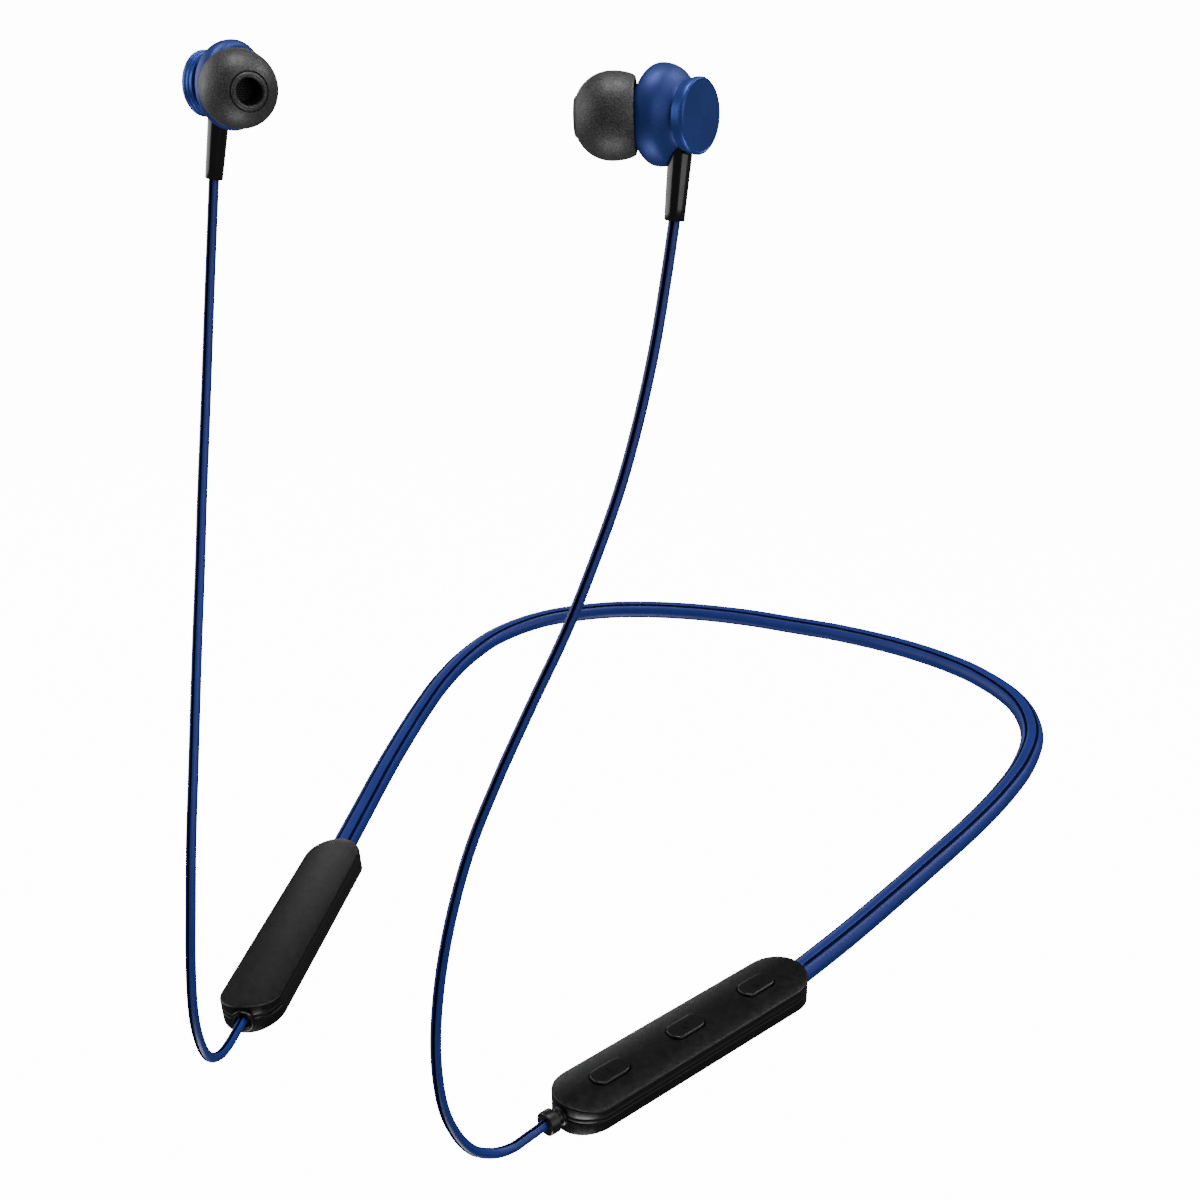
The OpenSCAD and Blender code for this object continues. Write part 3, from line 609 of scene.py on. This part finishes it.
def make_band():
    mirrored = [(-x, y, z) for x, y, z in reversed(BAND_HALF[1:])]
    path = smooth_route(mirrored + BAND_HALF, BAND_STEPS)
    roll = math.radians(BAND_TURN)

    def frame_at(i):
        along = tangent(path, i)
        level = Vector((0, 0, 1)).cross(along).normalized()
        up = along.cross(level)
        return level * math.cos(roll) + up * math.sin(roll), up * math.cos(roll) - level * math.sin(roll)

    section = band_section()
    points, faces = sweep(path, section, frame_at)
    band = add_piece(
        "neckband", points, faces, MATERIAL["band_blue"],
        replaces=("neckband_sleeve",), sharp=60,
    )
    # The faces in the band's grooves get the painted-shade material
    shade_grooves(band, len(section), groove_corners(section), MATERIAL["groove_painted_shade"])


make_band()


# ---- Pods ----

CROWN_R = ((POD_WIDTH / 2) ** 2 + POD_CROWN**2) / (2 * POD_CROWN)
EDGE_R = 0.28
SEAM_DEPTH = 0.11
SEAM_HALF = 0.07
LINE_DEPTH = 0.07
LINE_LEVEL = 0.85
# Degrees from one ring of a rounded edge to the next
EDGE_STEP = 15


def face_level(y):
    """Height of a pod's crowned face above its middle plane."""
    return POD_THICKNESS / 2 - (CROWN_R - math.sqrt(CROWN_R**2 - y * y))


def outline(length, width, corner, inset, steps=28, straight=30):
    """A rounded rectangle from x 0 to length, counter-clockwise, moved in by inset."""
    r = corner - inset
    cx0, cx1 = corner, length - corner
    cy = width / 2 - corner
    points = arc(cx1, -cy, r, -90, 0, steps)[:-1] if cy < 0.01 else arc(cx1, -cy, r, -90, 0, steps)
    points += arc(cx1, cy, r, 0, 90, steps)
    points += [(cx1 + (cx0 - cx1) * i / straight, cy + r) for i in range(1, straight)]
    points += arc(cx0, cy, r, 90, 180, steps)[:-1] if cy < 0.01 else arc(cx0, cy, r, 90, 180, steps)
    points += arc(cx0, -cy, r, 180, 270, steps)
    points += [(cx0 + (cx1 - cx0) * i / straight, -cy - r) for i in range(1, straight)]
    return points


def flat_fill(loops, holes, spacing):
    """Triangles between an outer loop and holes: (points, faces), with a grid of points inside."""
    points = [Vector(p) for p in loops]
    edges = [(i, (i + 1) % len(loops)) for i in range(len(loops))]
    for hole in holes:
        base = len(points)
        points += [Vector(p) for p in hole]
        edges += [(base + i, base + (i + 1) % len(hole)) for i in range(len(hole))]
    outer = len(loops)
    xs = [p[0] for p in loops]
    ys = [p[1] for p in loops]
    keep = spacing * 0.45
    rim = [Vector(p) for p in points]
    x = min(xs) + spacing
    while x < max(xs):
        y = min(ys) + spacing * 0.5
        while y < max(ys):
            p = Vector((x, y))
            if inside(p, points[:outer]) and not any(inside(p, hole) for hole in holes):
                if min((p - q).length for q in rim) > keep:
                    points.append(p)
            y += spacing * 0.5
        x += spacing
    out = geometry.delaunay_2d_cdt(points, edges, [], 0, 1e-6)
    corners, triangles = out[0], out[2]
    kept = []
    for t in triangles:
        middle = sum((corners[i] for i in t), Vector((0, 0))) / len(t)
        if not any(inside(middle, hole) for hole in holes):
            kept.append(tuple(t))
    return corners, kept


def inside(p, loop):
    hit = False
    j = len(loop) - 1
    for i, a in enumerate(loop):
        b = loop[j]
        if (a[1] > p[1]) != (b[1] > p[1]):
            if p[0] < (b[0] - a[0]) * (p[1] - a[1]) / (b[1] - a[1]) + a[0]:
                hit = not hit
        j = i
    return hit


# Points closer than this, in mm, become one
JOIN_REACH = 1e-4


class Builder:
    """Collects points and faces, and joins points that lie together at the end."""

    def __init__(self):
        self.points = []
        self.faces = []

    def rings(self, rings):
        base = len(self.points)
        n = len(rings[0])
        for ring in rings:
            self.points += ring
        self.faces += ring_faces(len(rings), n, base)

    def fill(self, loop, holes, level, spacing=1.6, down=False):
        base = len(self.points)
        corners, triangles = flat_fill(loop, holes, spacing)
        self.points += raised([(c[0], c[1]) for c in corners], level)
        for t in triangles:
            a, b, c = (corners[i] for i in t)
            up = (b - a).cross(c - a) > 0
            order = t if up != down else tuple(reversed(t))
            self.faces.append(tuple(base + i for i in order))

    def joined(self):
        place = {}
        new, index = [], []
        for p in self.points:
            key = tuple(round(v / JOIN_REACH) for v in p)
            if key not in place:
                place[key] = len(new)
                new.append(p)
            index.append(place[key])
        faces = []
        for f in self.faces:
            g = []
            for i in f:
                if index[i] not in g:
                    g.append(index[i])
            if len(g) > 2:
                faces.append(tuple(g))
        return new, faces


def raised(loop, level):
    """The loop at a level, which is a height or the height at each y."""
    return [(x, y, level(y) if callable(level) else level) for x, y in loop]


def lowered(level, drop):
    return lambda y: level(y) - drop


def rounded_edge(loop, radius, level):
    """Rings up and over an edge of this radius, onto the surface at level; loop takes an inset."""
    rings = []
    for degrees in range(0, 91, EDGE_STEP):
        a = math.radians(degrees)
        rings.append(raised(loop(radius * (1 - math.cos(a))), lowered(level, radius * (1 - math.sin(a)))))
    return rings


def button_outline(which, inset):
    """The outline of a button's hole, or of the button, along the pod."""
    length = BUTTON_LENGTH
    corner = BUTTON_CORNER * BUTTON_WIDTH
    x = BUTTON_START + which * BUTTON_PITCH - length / 2
    points = outline(length, BUTTON_WIDTH, corner, inset, steps=8, straight=6)
    return [(x + px, py) for px, py in points]


def pod_shell(length, face, buttons):
    """One half of a pod's case as a closed shell, in the pod's frame; face is 1 above and -1 below."""
    build = Builder()

    def loop(inset):
        return outline(length, POD_WIDTH, POD_CORNER, inset)

    roof = POD_ROOF if face > 0 else -POD_FLOOR
    wall = [(SEAM_DEPTH, 0), (SEAM_DEPTH, SEAM_HALF * 0.6), (0.02, SEAM_HALF * 1.6), (0, SEAM_HALF * 2.4)]
    if face > 0:
        wall += [
            (0, LINE_LEVEL - 0.13), (0.02, LINE_LEVEL - 0.09), (LINE_DEPTH, LINE_LEVEL - 0.02),
            (LINE_DEPTH, LINE_LEVEL + 0.02), (0.02, LINE_LEVEL + 0.09), (0, LINE_LEVEL + 0.13),
        ]
    rings = [raised(loop(inset), z) for inset, z in wall] + rounded_edge(loop, EDGE_R, face_level)
    inner = [raised(loop(POD_WALL), roof), raised(loop(POD_WALL), 0)]
    holes = [button_outline(which, -BUTTON_GAP) for which in buttons]
    build.rings(inner + rings)
    build.fill(loop(EDGE_R), holes, face_level)
    build.fill(loop(POD_WALL), holes, roof, spacing=4, down=True)
    for hole in holes:
        build.rings([raised(hole, face_level), raised(hole, roof)])
    points, faces = build.joined()
    if face < 0:
        points = [(x, y, -z) for x, y, z in points]
        faces = turned_over(faces)
    return points, faces


def box_mesh(name, low, high):
    """A plain box used only to cut a hole, and deleted after that."""
    corners = [(x, y, z) for x in (low[0], high[0]) for y in (low[1], high[1]) for z in (low[2], high[2])]
    faces = [(0, 1, 3, 2), (4, 6, 7, 5), (0, 4, 5, 1), (2, 3, 7, 6), (0, 2, 6, 4), (1, 5, 7, 3)]
    return cutter(name, corners, faces)


def cutter(name, points, faces):
    mesh = bpy.data.meshes.new(name)
    mesh.from_pydata([Vector(p) * MM for p in points], [], faces)
    obj = bpy.data.objects.new(name, mesh)
    bpy.context.scene.collection.objects.link(obj)
    return obj


def rod_mesh(name, start, axis, radius, length, sides=48):
    """A round rod used only to cut a hole."""
    z = Vector(axis).normalized()
    x = z.orthogonal().normalized()
    y = z.cross(x)
    points = []
    for t in (0, length):
        for a in circle(sides):
            points.append(Vector(start) + z * t + (x * math.cos(a) + y * math.sin(a)) * radius)
    faces = ring_faces(2, sides)
    faces.append(tuple(reversed(range(sides))))
    faces.append(tuple(range(sides, 2 * sides)))
    return cutter(name, points, faces)


def cut(obj, cutters):
    """Cuts the cutters out of a piece, and deletes them."""
    for tool in cutters:
        tool.matrix_world = obj.matrix_world
        bpy.context.view_layer.update()
        modifier = obj.modifiers.new("cut", "BOOLEAN")
        modifier.operation = "DIFFERENCE"
        modifier.solver = "EXACT"
        modifier.object = tool
        graph = bpy.context.evaluated_depsgraph_get()
        mesh = bpy.data.meshes.new_from_object(obj.evaluated_get(graph))
        obj.modifiers.clear()
        old = obj.data
        obj.data = mesh
        bpy.data.meshes.remove(old)
        bpy.data.objects.remove(tool)
    for polygon in obj.data.polygons:
        polygon.use_smooth = True
    obj.data.set_sharp_from_angle(angle=math.radians(SHARP_ANGLE))


COVER_LENGTH = 10
COVER_HEIGHT = 3.6
COVER_DEPTH = 0.5
COVER_CORNER = 0.8
PLUG_LENGTH = 5.6
PLUG_HEIGHT = 1.4
PLUG_CORNER = 0.5
PLUG_REACH = 1.2
PORT_WIDTH = 7.6
PORT_HEIGHT = 2.6
INNER_SIDE = -POD_WIDTH / 2
GLAND_NECK_D = 3.3
ENTRY_GAP = 0.08
ENTRY_DEPTH = 3.6
WAY_OUT_DEPTH = 2
LIGHT_HOLE_R = 0.65
FIT_GAP = 0.05
SEAT_GAP = 0.1
# How far a cutter stands out past the surface it cuts
OVER = 1


def side_cut(name, half, tall, depth):
    """A box over the port's place, cut into the pod's inner side."""
    low = (USB_PLACE - half, INNER_SIDE - OVER, -tall)
    return box_mesh(name, low, (USB_PLACE + half, INNER_SIDE + depth, tall))


def pod_cutters(length, side):
    """What is cut out of both shells of a pod: the neckband's and the cord's ways in, and the port."""
    way_out = (length - WAY_OUT_DEPTH, 0, 0)
    tools = [rod_mesh("way_out", way_out, (1, 0, 0), GLAND_NECK_D / 2 + FIT_GAP, 2 * WAY_OUT_DEPTH)]
    section = [oval(a, ENTRY_GAP) for a in range(0, 360, 6)]
    turn = Matrix.Rotation(math.radians(BAND_TURN + POD_LEAN), 4, "X")
    entry = [turn @ Vector((x, y, z)) for x in (-OVER, ENTRY_DEPTH) for y, z in section]
    n = len(section)
    faces = ring_faces(2, n) + [tuple(reversed(range(n))), tuple(range(n, 2 * n))]
    tools.append(cutter("way_in", entry, faces))
    if side > 0:
        half = COVER_LENGTH / 2 + SEAT_GAP
        tall = COVER_HEIGHT / 2 + SEAT_GAP
        tools.append(side_cut("cover_seat", half, tall, COVER_DEPTH))
        tools.append(side_cut("port", PORT_WIDTH / 2, PORT_HEIGHT / 2, OVER + POD_WALL))
        light = (LIGHT_PLACE, INNER_SIDE - OVER, LIGHT_LEVEL)
        tools.append(rod_mesh("light_hole", light, (0, 1, 0), LIGHT_HOLE_R, 3 * OVER))
    return tools


def make_pod(name, length, side):
    place = pod_frame(side)
    for face, word in ((1, "top"), (-1, "bottom")):
        buttons = (0, 1, 2) if side > 0 and face > 0 else ()
        points, faces = pod_shell(length, face, buttons)
        obj = add_piece(
            f"{name}_{word}_case", points, faces, MATERIAL["pod_black"], place=place,
            replaces=(f"{name}_{word}_shell",),
        )
        cut(obj, pod_cutters(length, side))


make_pod("control", CONTROL_LENGTH, 1)
make_pod("battery", BATTERY_LENGTH, -1)


# ---- Buttons ----

KEY_EDGE = 0.3
SYMBOL_RISE = 0.09
SYMBOL_SUNK = 0.1
SYMBOL_LENGTH = 1.7
SYMBOL_LINE = 0.3
RING_OUTER_R = 0.8
RING_INNER_R = 0.54


def button_rings(which):
    """A key: a closed pill shape with a rounded upper edge and a crowned top."""
    build = Builder()

    def loop(inset):
        return button_outline(which, inset)

    build.rings([raised(loop(0), BUTTON_BASE)] + rounded_edge(loop, KEY_EDGE, key_level))
    build.fill(loop(KEY_EDGE), [], key_level, spacing=0.8)
    build.fill(loop(0), [], BUTTON_BASE, spacing=3, down=True)
    return build


def key_level(y):
    return face_level(y) + BUTTON_RISE


def slab(build, loop):
    """A raised symbol on a button: a low solid with the outline loop."""
    build.rings([raised(loop, symbol_foot), raised(loop, symbol_top)])
    build.fill(loop, [], symbol_top, spacing=2)
    build.fill(loop, [], symbol_foot, spacing=2, down=True)


def bar(x, y, length, width):
    a, b = length / 2, width / 2
    return [(x - a, y - b), (x + a, y - b), (x + a, y + b), (x - a, y + b)]


def symbol_top(y):
    return key_level(y) + SYMBOL_RISE


def symbol_foot(y):
    return key_level(y) - SYMBOL_SUNK


def cross(x, long, thin):
    h, t = long / 2, thin / 2
    return [
        (x - h, -t), (x - t, -t), (x - t, -h), (x + t, -h), (x + t, -t), (x + h, -t),
        (x + h, t), (x + t, t), (x + t, h), (x - t, h), (x - t, t), (x - h, t),
    ]


def symbol(build, which):
    """A plus on the first key, a ring on the second and a minus on the third."""
    x = BUTTON_START + which * BUTTON_PITCH
    if which == 0:
        slab(build, cross(x, SYMBOL_LENGTH, SYMBOL_LINE))
    elif which == 1:
        outer, inner = round_loop(x, 0, RING_OUTER_R, 40), round_loop(x, 0, RING_INNER_R, 40)
        sides = [(outer, symbol_foot), (outer, symbol_top), (inner, symbol_top), (inner, symbol_foot)]
        build.rings([raised(loop, level) for loop, level in sides + sides[:1]])
    else:
        slab(build, bar(x, 0, SYMBOL_LINE, SYMBOL_LENGTH))


def make_buttons():
    for which, name in enumerate(("plus", "power", "minus")):
        build = button_rings(which)
        symbol(build, which)
        points, faces = build.joined()
        add_piece(
            f"{name}_key_cap", points, faces, MATERIAL["button_black"], body=f"{name}_key",
            place=pod_frame(1), replaces=(f"{name}_button",),
        )


make_buttons()


# ---- Where the cords leave the pods ----


def along_pod(side):
    """A pod's frame with z along the pod, for turned pieces."""
    return pod_frame(side) @ Matrix.Rotation(math.radians(90), 4, "Y")


COLLAR_R = 2.05
GROMMET_R = 2.1


def make_glands():
    """The control pod's collar and the battery pod's grommet, each turned about the cord."""
    bore = CORD_D / 2 + FIT_GAP
    neck = GLAND_NECK_D / 2
    rim = COLLAR_R
    end = CONTROL_LENGTH
    collar = [
        (bore, end - 2.4), (neck, end - 2.4), (neck, end + 0.2), (neck - 0.2, end + 0.35),
        (neck - 0.2, end + 1.1), (neck, end + 1.25), (rim - 0.12, end + 1.32), (rim, end + 1.44),
        (rim, end + 2.9), (rim - 0.05, end + 3.08), (rim - 0.17, end + 3.2), (bore + 0.5, end + 3.2),
        (bore + 0.1, end + 3.0), (bore, end + 2.8),
    ]
    points, faces = lathe(collar, 64)
    add_piece(
        "control_collar", points, faces, MATERIAL["gland_black"], place=along_pod(1),
        replaces=("control_gland",),
    )
    end = BATTERY_LENGTH
    ring = GROMMET_R
    grommet = [
        (bore, end - 2.4), (neck, end - 2.4), (neck, end - 0.45), (ring, end - 0.45), (ring, end + 0.3),
        (ring - 0.06, end + 0.43), (ring - 0.2, end + 0.5), (ring - 0.42, end + 0.48), (1.55, end + 0.36),
        (1.42, end + 0.2), (1.4, end - 0.25), (bore, end - 0.3),
    ]
    points, faces = lathe(grommet, 64)
    add_piece(
        "battery_grommet", points, faces, MATERIAL["gland_black"], place=along_pod(-1),
        replaces=("battery_gland",),
    )


make_glands()


# ---- Port cover ----


def make_cover():
    """The rubber flap: a rounded plate with a line round its face, and the plug on its inside."""
    build = Builder()

    def loop(inset):
        points = outline(COVER_LENGTH, COVER_HEIGHT, COVER_CORNER, inset, steps=6, straight=4)
        return [(USB_PLACE - COVER_LENGTH / 2 + x, z) for x, z in points]

    outer = INNER_SIDE - 0.05
    inner = INNER_SIDE + 0.45
    rings = [
        (0, inner), (0, outer + 0.15), (0.05, outer + 0.05), (0.15, outer),
        (0.6, outer), (0.68, outer + 0.06), (0.76, outer),
    ]
    build.rings([[(x, y, z) for x, z in loop(inset)] for inset, y in rings])
    close_loop(build, [(x, outer, z) for x, z in loop(0.76)], True)
    close_loop(build, [(x, inner, z) for x, z in loop(0)], False)
    plug = outline(PLUG_LENGTH, PLUG_HEIGHT, PLUG_CORNER, 0, steps=5, straight=3)
    base = [(USB_PLACE - PLUG_LENGTH / 2 + x, z) for x, z in plug]
    tip, root = INNER_SIDE + PLUG_REACH, inner - 0.1
    build.rings([[(x, y, z) for x, z in base] for y in (tip, root)])
    close_loop(build, [(x, tip, z) for x, z in base], False)
    close_loop(build, [(x, root, z) for x, z in base], True)
    points, faces = build.joined()
    add_piece(
        "port_flap_rubber", points, faces, MATERIAL["cover_rubber"], body="port_flap", place=pod_frame(1),
        replaces=("port_cover",),
    )


def close_loop(build, loop, forward):
    base = len(build.points)
    build.points += loop
    order = tuple(range(base, base + len(loop)))
    build.faces.append(order if forward else tuple(reversed(order)))


make_cover()


# ---- Earbuds ----

TIP_D = 12.1
MOUTH_R = 2.1
TIP_FRONT = 5.2
TIP_REAR = -3.3
CORE_REAR = -2.8
BORE_END = 1.8
NOZZLE_R = 2.3
NOZZLE_END = 1.4
DOME_MIDDLE = 0.54
DOME_DEPTH = 5.4
TIP_REAR_R = 4.93
TIP_REAR_DEPTH = 3.53
FLANGE_R = 7.0
FLANGE_ROUND = 1.3
WAIST_R = 4.4
WAIST = -4.2
CAP_R = 5.2
CAP_FACE = -6.35
CAP_REAR = -4.3
GRILLE_T = 0.2
GRILLE_ROWS = 5
GRILLE_PITCH = 0.42
GRILLE_HOLE_R = 0.12
GRILLE_RIM = 0.3
# Sides of the large turned pieces
FINE_ROUND = 128


def dome(angle):
    a = math.radians(angle)
    return DOME_MIDDLE + (TIP_D / 2 - DOME_MIDDLE) * math.sin(a), DOME_DEPTH * math.cos(a)


def skirt(angle):
    a = math.radians(angle)
    return TIP_REAR_R + (TIP_D / 2 - TIP_REAR_R) * math.cos(a), -TIP_REAR_DEPTH * math.sin(a)


# The lip round the ear tip's mouth and the groove outside it: out from the bore, behind the front
TIP_LIP = [
    (0, 0.45), (0.05, 0.18), (0.18, 0.04), (0.36, 0), (0.56, 0.06), (0.72, 0.22), (0.8, 0.5),
    (0.84, 0.75), (0.94, 0.75), (0.98, 0.5),
]


def make_ear_tip(name):
    core_r = NOZZLE_R + 0.65
    lip = [(MOUTH_R + r, TIP_FRONT - z) for r, z in TIP_LIP]
    outside = [dome(28 + 62 * i / 24) for i in range(25)]
    end = math.degrees(math.asin(-TIP_REAR / TIP_REAR_DEPTH))
    outside += [skirt(end * i / 12) for i in range(1, 13)]
    rim_r, rim_z = outside[-1]
    rim = [(rim_r - 0.1, rim_z - 0.06), (rim_r - 0.28, rim_z - 0.06), (rim_r - 0.4, rim_z + 0.05)]
    inside_wall = [(skirt(end * i / 12)[0] - 0.42, skirt(end * i / 12)[1]) for i in range(10, 0, -1)]
    hollow = []
    for i in range(12, -1, -1):
        a = math.radians(90 * i / 14)
        hollow.append((core_r + (TIP_D / 2 - 0.6 - core_r) * math.sin(a), (TIP_FRONT - 1.8) * math.cos(a)))
    bore_r = NOZZLE_R + 0.05
    tube = [(core_r, CORE_REAR), (bore_r, CORE_REAR), (bore_r, BORE_END), (MOUTH_R, BORE_END)]
    profile = lip + outside + rim + inside_wall + hollow + tube
    points, faces = lathe(profile, FINE_ROUND)
    add_piece(
        f"{name}_tip_dome", points, turned_over(faces), MATERIAL["tip_silicone"], body=f"{name}_tip",
        place=nozzle_frame(name), replaces=(f"{name}_ear_tip",), sharp=50,
    )


def make_mesh_disc(name):
    """The grille inside the nozzle: a thin disc with rows of small holes."""
    r = NOZZLE_R - 0.5
    top = NOZZLE_END - 0.5
    foot = top - GRILLE_T
    build = Builder()
    holes = []
    for i in range(-GRILLE_ROWS, GRILLE_ROWS + 1):
        for j in range(-GRILLE_ROWS, GRILLE_ROWS + 1):
            x = (i + (j % 2) / 2) * GRILLE_PITCH
            y = j * GRILLE_PITCH * math.sqrt(3) / 2
            if math.hypot(x, y) < r - GRILLE_RIM:
                holes.append(round_loop(x, y, GRILLE_HOLE_R, 10))
    edge = round_loop(0, 0, r, 64)
    build.fill(edge, holes, top, spacing=6)
    build.fill(edge, holes, foot, spacing=6, down=True)
    build.rings([raised(edge, foot), raised(edge, top)])
    for hole in holes:
        build.rings([raised(hole, top), raised(hole, foot)])
    points, faces = build.joined()
    add_piece(
        f"{name}_grille", points, faces, MATERIAL["mesh_dark"], place=nozzle_frame(name),
        replaces=(f"{name}_nozzle_mesh",),
    )


def spool_profile():
    """The rear of the housing, from the flange's widest line in to the waist."""
    middle = FLANGE_R - FLANGE_ROUND
    points = [(6.995, -0.25), (6.96, -0.5), (6.87, -1), (6.7, -1.5), (6.44, -2), (6.1, -2.4), (5.66, -2.8)]
    points += [(5.18, -3.2), (4.78, -3.6), (4.52, -3.9), (WAIST_R, WAIST)]
    return [(middle + FLANGE_ROUND, 0)] + points


def make_housing(name):
    middle = FLANGE_R - FLANGE_ROUND
    edge = list(reversed(arc(middle, 0, FLANGE_ROUND, 0, 90, 12)))
    points, faces = lathe([(0, FLANGE_ROUND)] + edge + [(middle, -0.05), (0, -0.05)], FINE_ROUND)
    add_piece(
        f"{name}_flange_front", points, turned_over(faces), MATERIAL["housing_blue"],
        place=bud_frame(name), replaces=(f"{name}_front_housing",), sharp=40,
    )
    make_nozzle(name)
    rear = spool_profile()
    points, faces = lathe([(0, 0)] + rear + [(0, WAIST)], FINE_ROUND)
    add_piece(
        f"{name}_spool", points, turned_over(faces), MATERIAL["housing_blue"],
        place=bud_frame(name), replaces=(f"{name}_rear_housing",), sharp=40,
    )


def make_nozzle(name):
    r = NOZZLE_R
    profile = [
        (r - 0.5, NOZZLE_END - 0.08), (r - 0.42, NOZZLE_END), (r - 0.08, NOZZLE_END), (r, NOZZLE_END - 0.1),
        (r, NOZZLE_END - 0.5), (r - 0.15, NOZZLE_END - 0.7), (r - 0.15, NOZZLE_END - 1.2),
        (r, NOZZLE_END - 1.4), (r, -5.6), (r - 0.5, -5.6),
    ]
    # The nozzle gets the dark grille colour instead of the housing's blue: painted shade for the shadow
    # inside the ear tip's bore
    points, faces = lathe(profile, 96)
    add_piece(
        f"{name}_nozzle", points, turned_over(faces), MATERIAL["mesh_dark"],
        place=nozzle_frame(name),
    )


def make_cap(name):
    r = CAP_R
    profile = [
        (0, CAP_FACE + 0.04), (r - 0.42, CAP_FACE + 0.04), (r - 0.36, CAP_FACE), (r - 0.26, CAP_FACE),
        (r - 0.02, CAP_FACE + 0.24), (r, CAP_FACE + 0.3), (r, CAP_FACE + 0.78), (r - 0.04, CAP_FACE + 0.84),
        (r - 0.16, CAP_FACE + 0.9), (r - 0.16, CAP_FACE + 1.34), (r - 0.2, CAP_FACE + 1.4),
        (r - 0.32, CAP_FACE + 1.46), (r - 0.32, CAP_REAR - 0.06), (r - 0.38, CAP_REAR),
        (WAIST_R - 0.1, CAP_REAR), (WAIST_R - 0.1, WAIST), (0, WAIST),
    ]
    points, faces = lathe(profile, FINE_ROUND)
    add_piece(
        f"{name}_cap_disc", points, faces, MATERIAL["cap_blue"], place=bud_frame(name),
        replaces=(f"{name}_back_cap",), sharp=30,
    )


STEMS = {
    "left": ((42.8, -151.2, 122.1), (42.25, -151.8, 112)),
    "right": ((-39.9, -151.4, 126.1), (-41.9, -151.5, 115.3)),
}
STEM_TOP_R = 1.75
STEM_END_R = 1.45


def make_stem(name):
    """A tapered tube from under the cap down to where the cord comes out."""
    top, end = (Vector(p) for p in STEMS[name])
    up = top - end
    length = up.length
    bore = CORD_D / 2 + 0.04
    wall = [(STEM_END_R + (STEM_TOP_R - STEM_END_R) * i / 6, length * i / 6) for i in range(1, 7)]
    profile = [
        (bore, 2.5), (bore, 0.25), (bore + 0.12, 0.06), (bore + 0.22, 0), (STEM_END_R - 0.16, 0),
        (STEM_END_R - 0.05, 0.05), (STEM_END_R, 0.18),
    ]
    points, faces = lathe(profile + wall + [(bore, length), (bore, length - 0.5)], 72)
    place = Matrix.Translation(end * MM) @ up.to_track_quat("Z", "X").to_matrix().to_4x4()
    obj = add_piece(
        f"{name}_stem_tube", points, faces, MATERIAL["stem_black"], place=place,
        replaces=(f"{name}_stem",),
    )
    local = place.inverted() @ bud_frame(name)
    start = local @ Vector((0, 0, (CAP_FACE - STEM_TOP_R) * MM))
    axis = local.to_3x3() @ Vector((0, 0, 1))
    depth = WAIST - CAP_FACE + STEM_TOP_R
    cut(obj, [rod_mesh("cap_space", start / MM, axis, CAP_R + 0.08, depth, FINE_ROUND)])


for bud in ("left", "right"):
    make_ear_tip(bud)
    make_mesh_disc(bud)
    make_housing(bud)
    make_cap(bud)
    make_stem(bud)


# ---- Floor and light ----

FLOOR_LEVEL = -0.16
FLOOR_RADIUS = 2.2
BACKDROP_RADIUS = 1.6
BACKDROP_GLOW = 14


def make_floor():
    """A pale round floor that curves up into a backdrop all round, seen by the camera alone."""
    rows = [(0.02 + (FLOOR_RADIUS - 0.02) * i / 8, FLOOR_LEVEL) for i in range(9)]
    rise = arc(FLOOR_RADIUS, 0, BACKDROP_RADIUS, -90, 0, 16)
    rows += [(x, FLOOR_LEVEL + BACKDROP_RADIUS + z) for x, z in rise]
    sides = 96
    points = [(r * math.cos(a), r * math.sin(a), z) for r, z in rows for a in circle(sides)]
    faces = ring_faces(len(rows), sides, inward=True) + [tuple(range(sides))]
    mesh = bpy.data.meshes.new("floor")
    mesh.from_pydata(points, [], faces)
    floor = bpy.data.objects.new("floor", mesh)
    n = Nodes("floor_pale")
    n.set(Base_Color=(0.8, 0.8, 0.8, 1), Roughness=0.9, Specular_IOR_Level=0.0)
    n.set(Emission_Color=(1, 1, 1, 1), Emission_Strength=BACKDROP_GLOW)
    mesh.materials.append(n.material)
    for polygon in mesh.polygons:
        polygon.use_smooth = True
    bpy.context.scene.collection.objects.link(floor)
    floor.visible_diffuse = False
    floor.visible_glossy = False
    floor.visible_shadow = False


# Each light: name, direction to it (azimuth from +x towards +y, elevation), distance, width, height, power
LIGHTS = [
    ("left", 200, 14, 1.1, 1.5, 0.8, 8.4),
    ("right", 346, 14, 1.1, 1.2, 0.8, 5.0),
    ("ridge", 42, 44, 1.0, 0.42, 0.24, 3.6),
    ("overhead", 300, 84, 1.0, 0.5, 0.25, 7.0),
    ("back_left", 130, 14, 1.1, 0.35, 0.22, 1.0),
    ("below", 285, -72, 0.9, 0.5, 0.3, 5.0),
]
LIGHT_TARGET = (0, -0.11, 0.04)
WORLD_STRENGTH = 0.1


def make_lights():
    centre = Vector(LIGHT_TARGET)
    for name, azimuth, elevation, distance, width, height, power in LIGHTS:
        a, e = math.radians(azimuth), math.radians(elevation)
        data = bpy.data.lights.new(name, "AREA")
        data.energy = power
        data.shape = "RECTANGLE"
        data.size = width
        data.size_y = height
        light = bpy.data.objects.new(name, data)
        offset = Vector((math.cos(a) * math.cos(e), math.sin(a) * math.cos(e), math.sin(e)))
        light.location = centre + offset * distance
        light.rotation_euler = (-offset).to_track_quat("-Z", "Y").to_euler()
        light.visible_camera = False
        bpy.context.scene.collection.objects.link(light)
    world = bpy.data.worlds.new("studio")
    world.use_nodes = True
    background = world.node_tree.nodes["Background"]
    background.inputs["Color"].default_value = (1, 1, 1, 1)
    background.inputs["Strength"].default_value = WORLD_STRENGTH
    bpy.context.scene.world = world


make_floor()
make_lights()
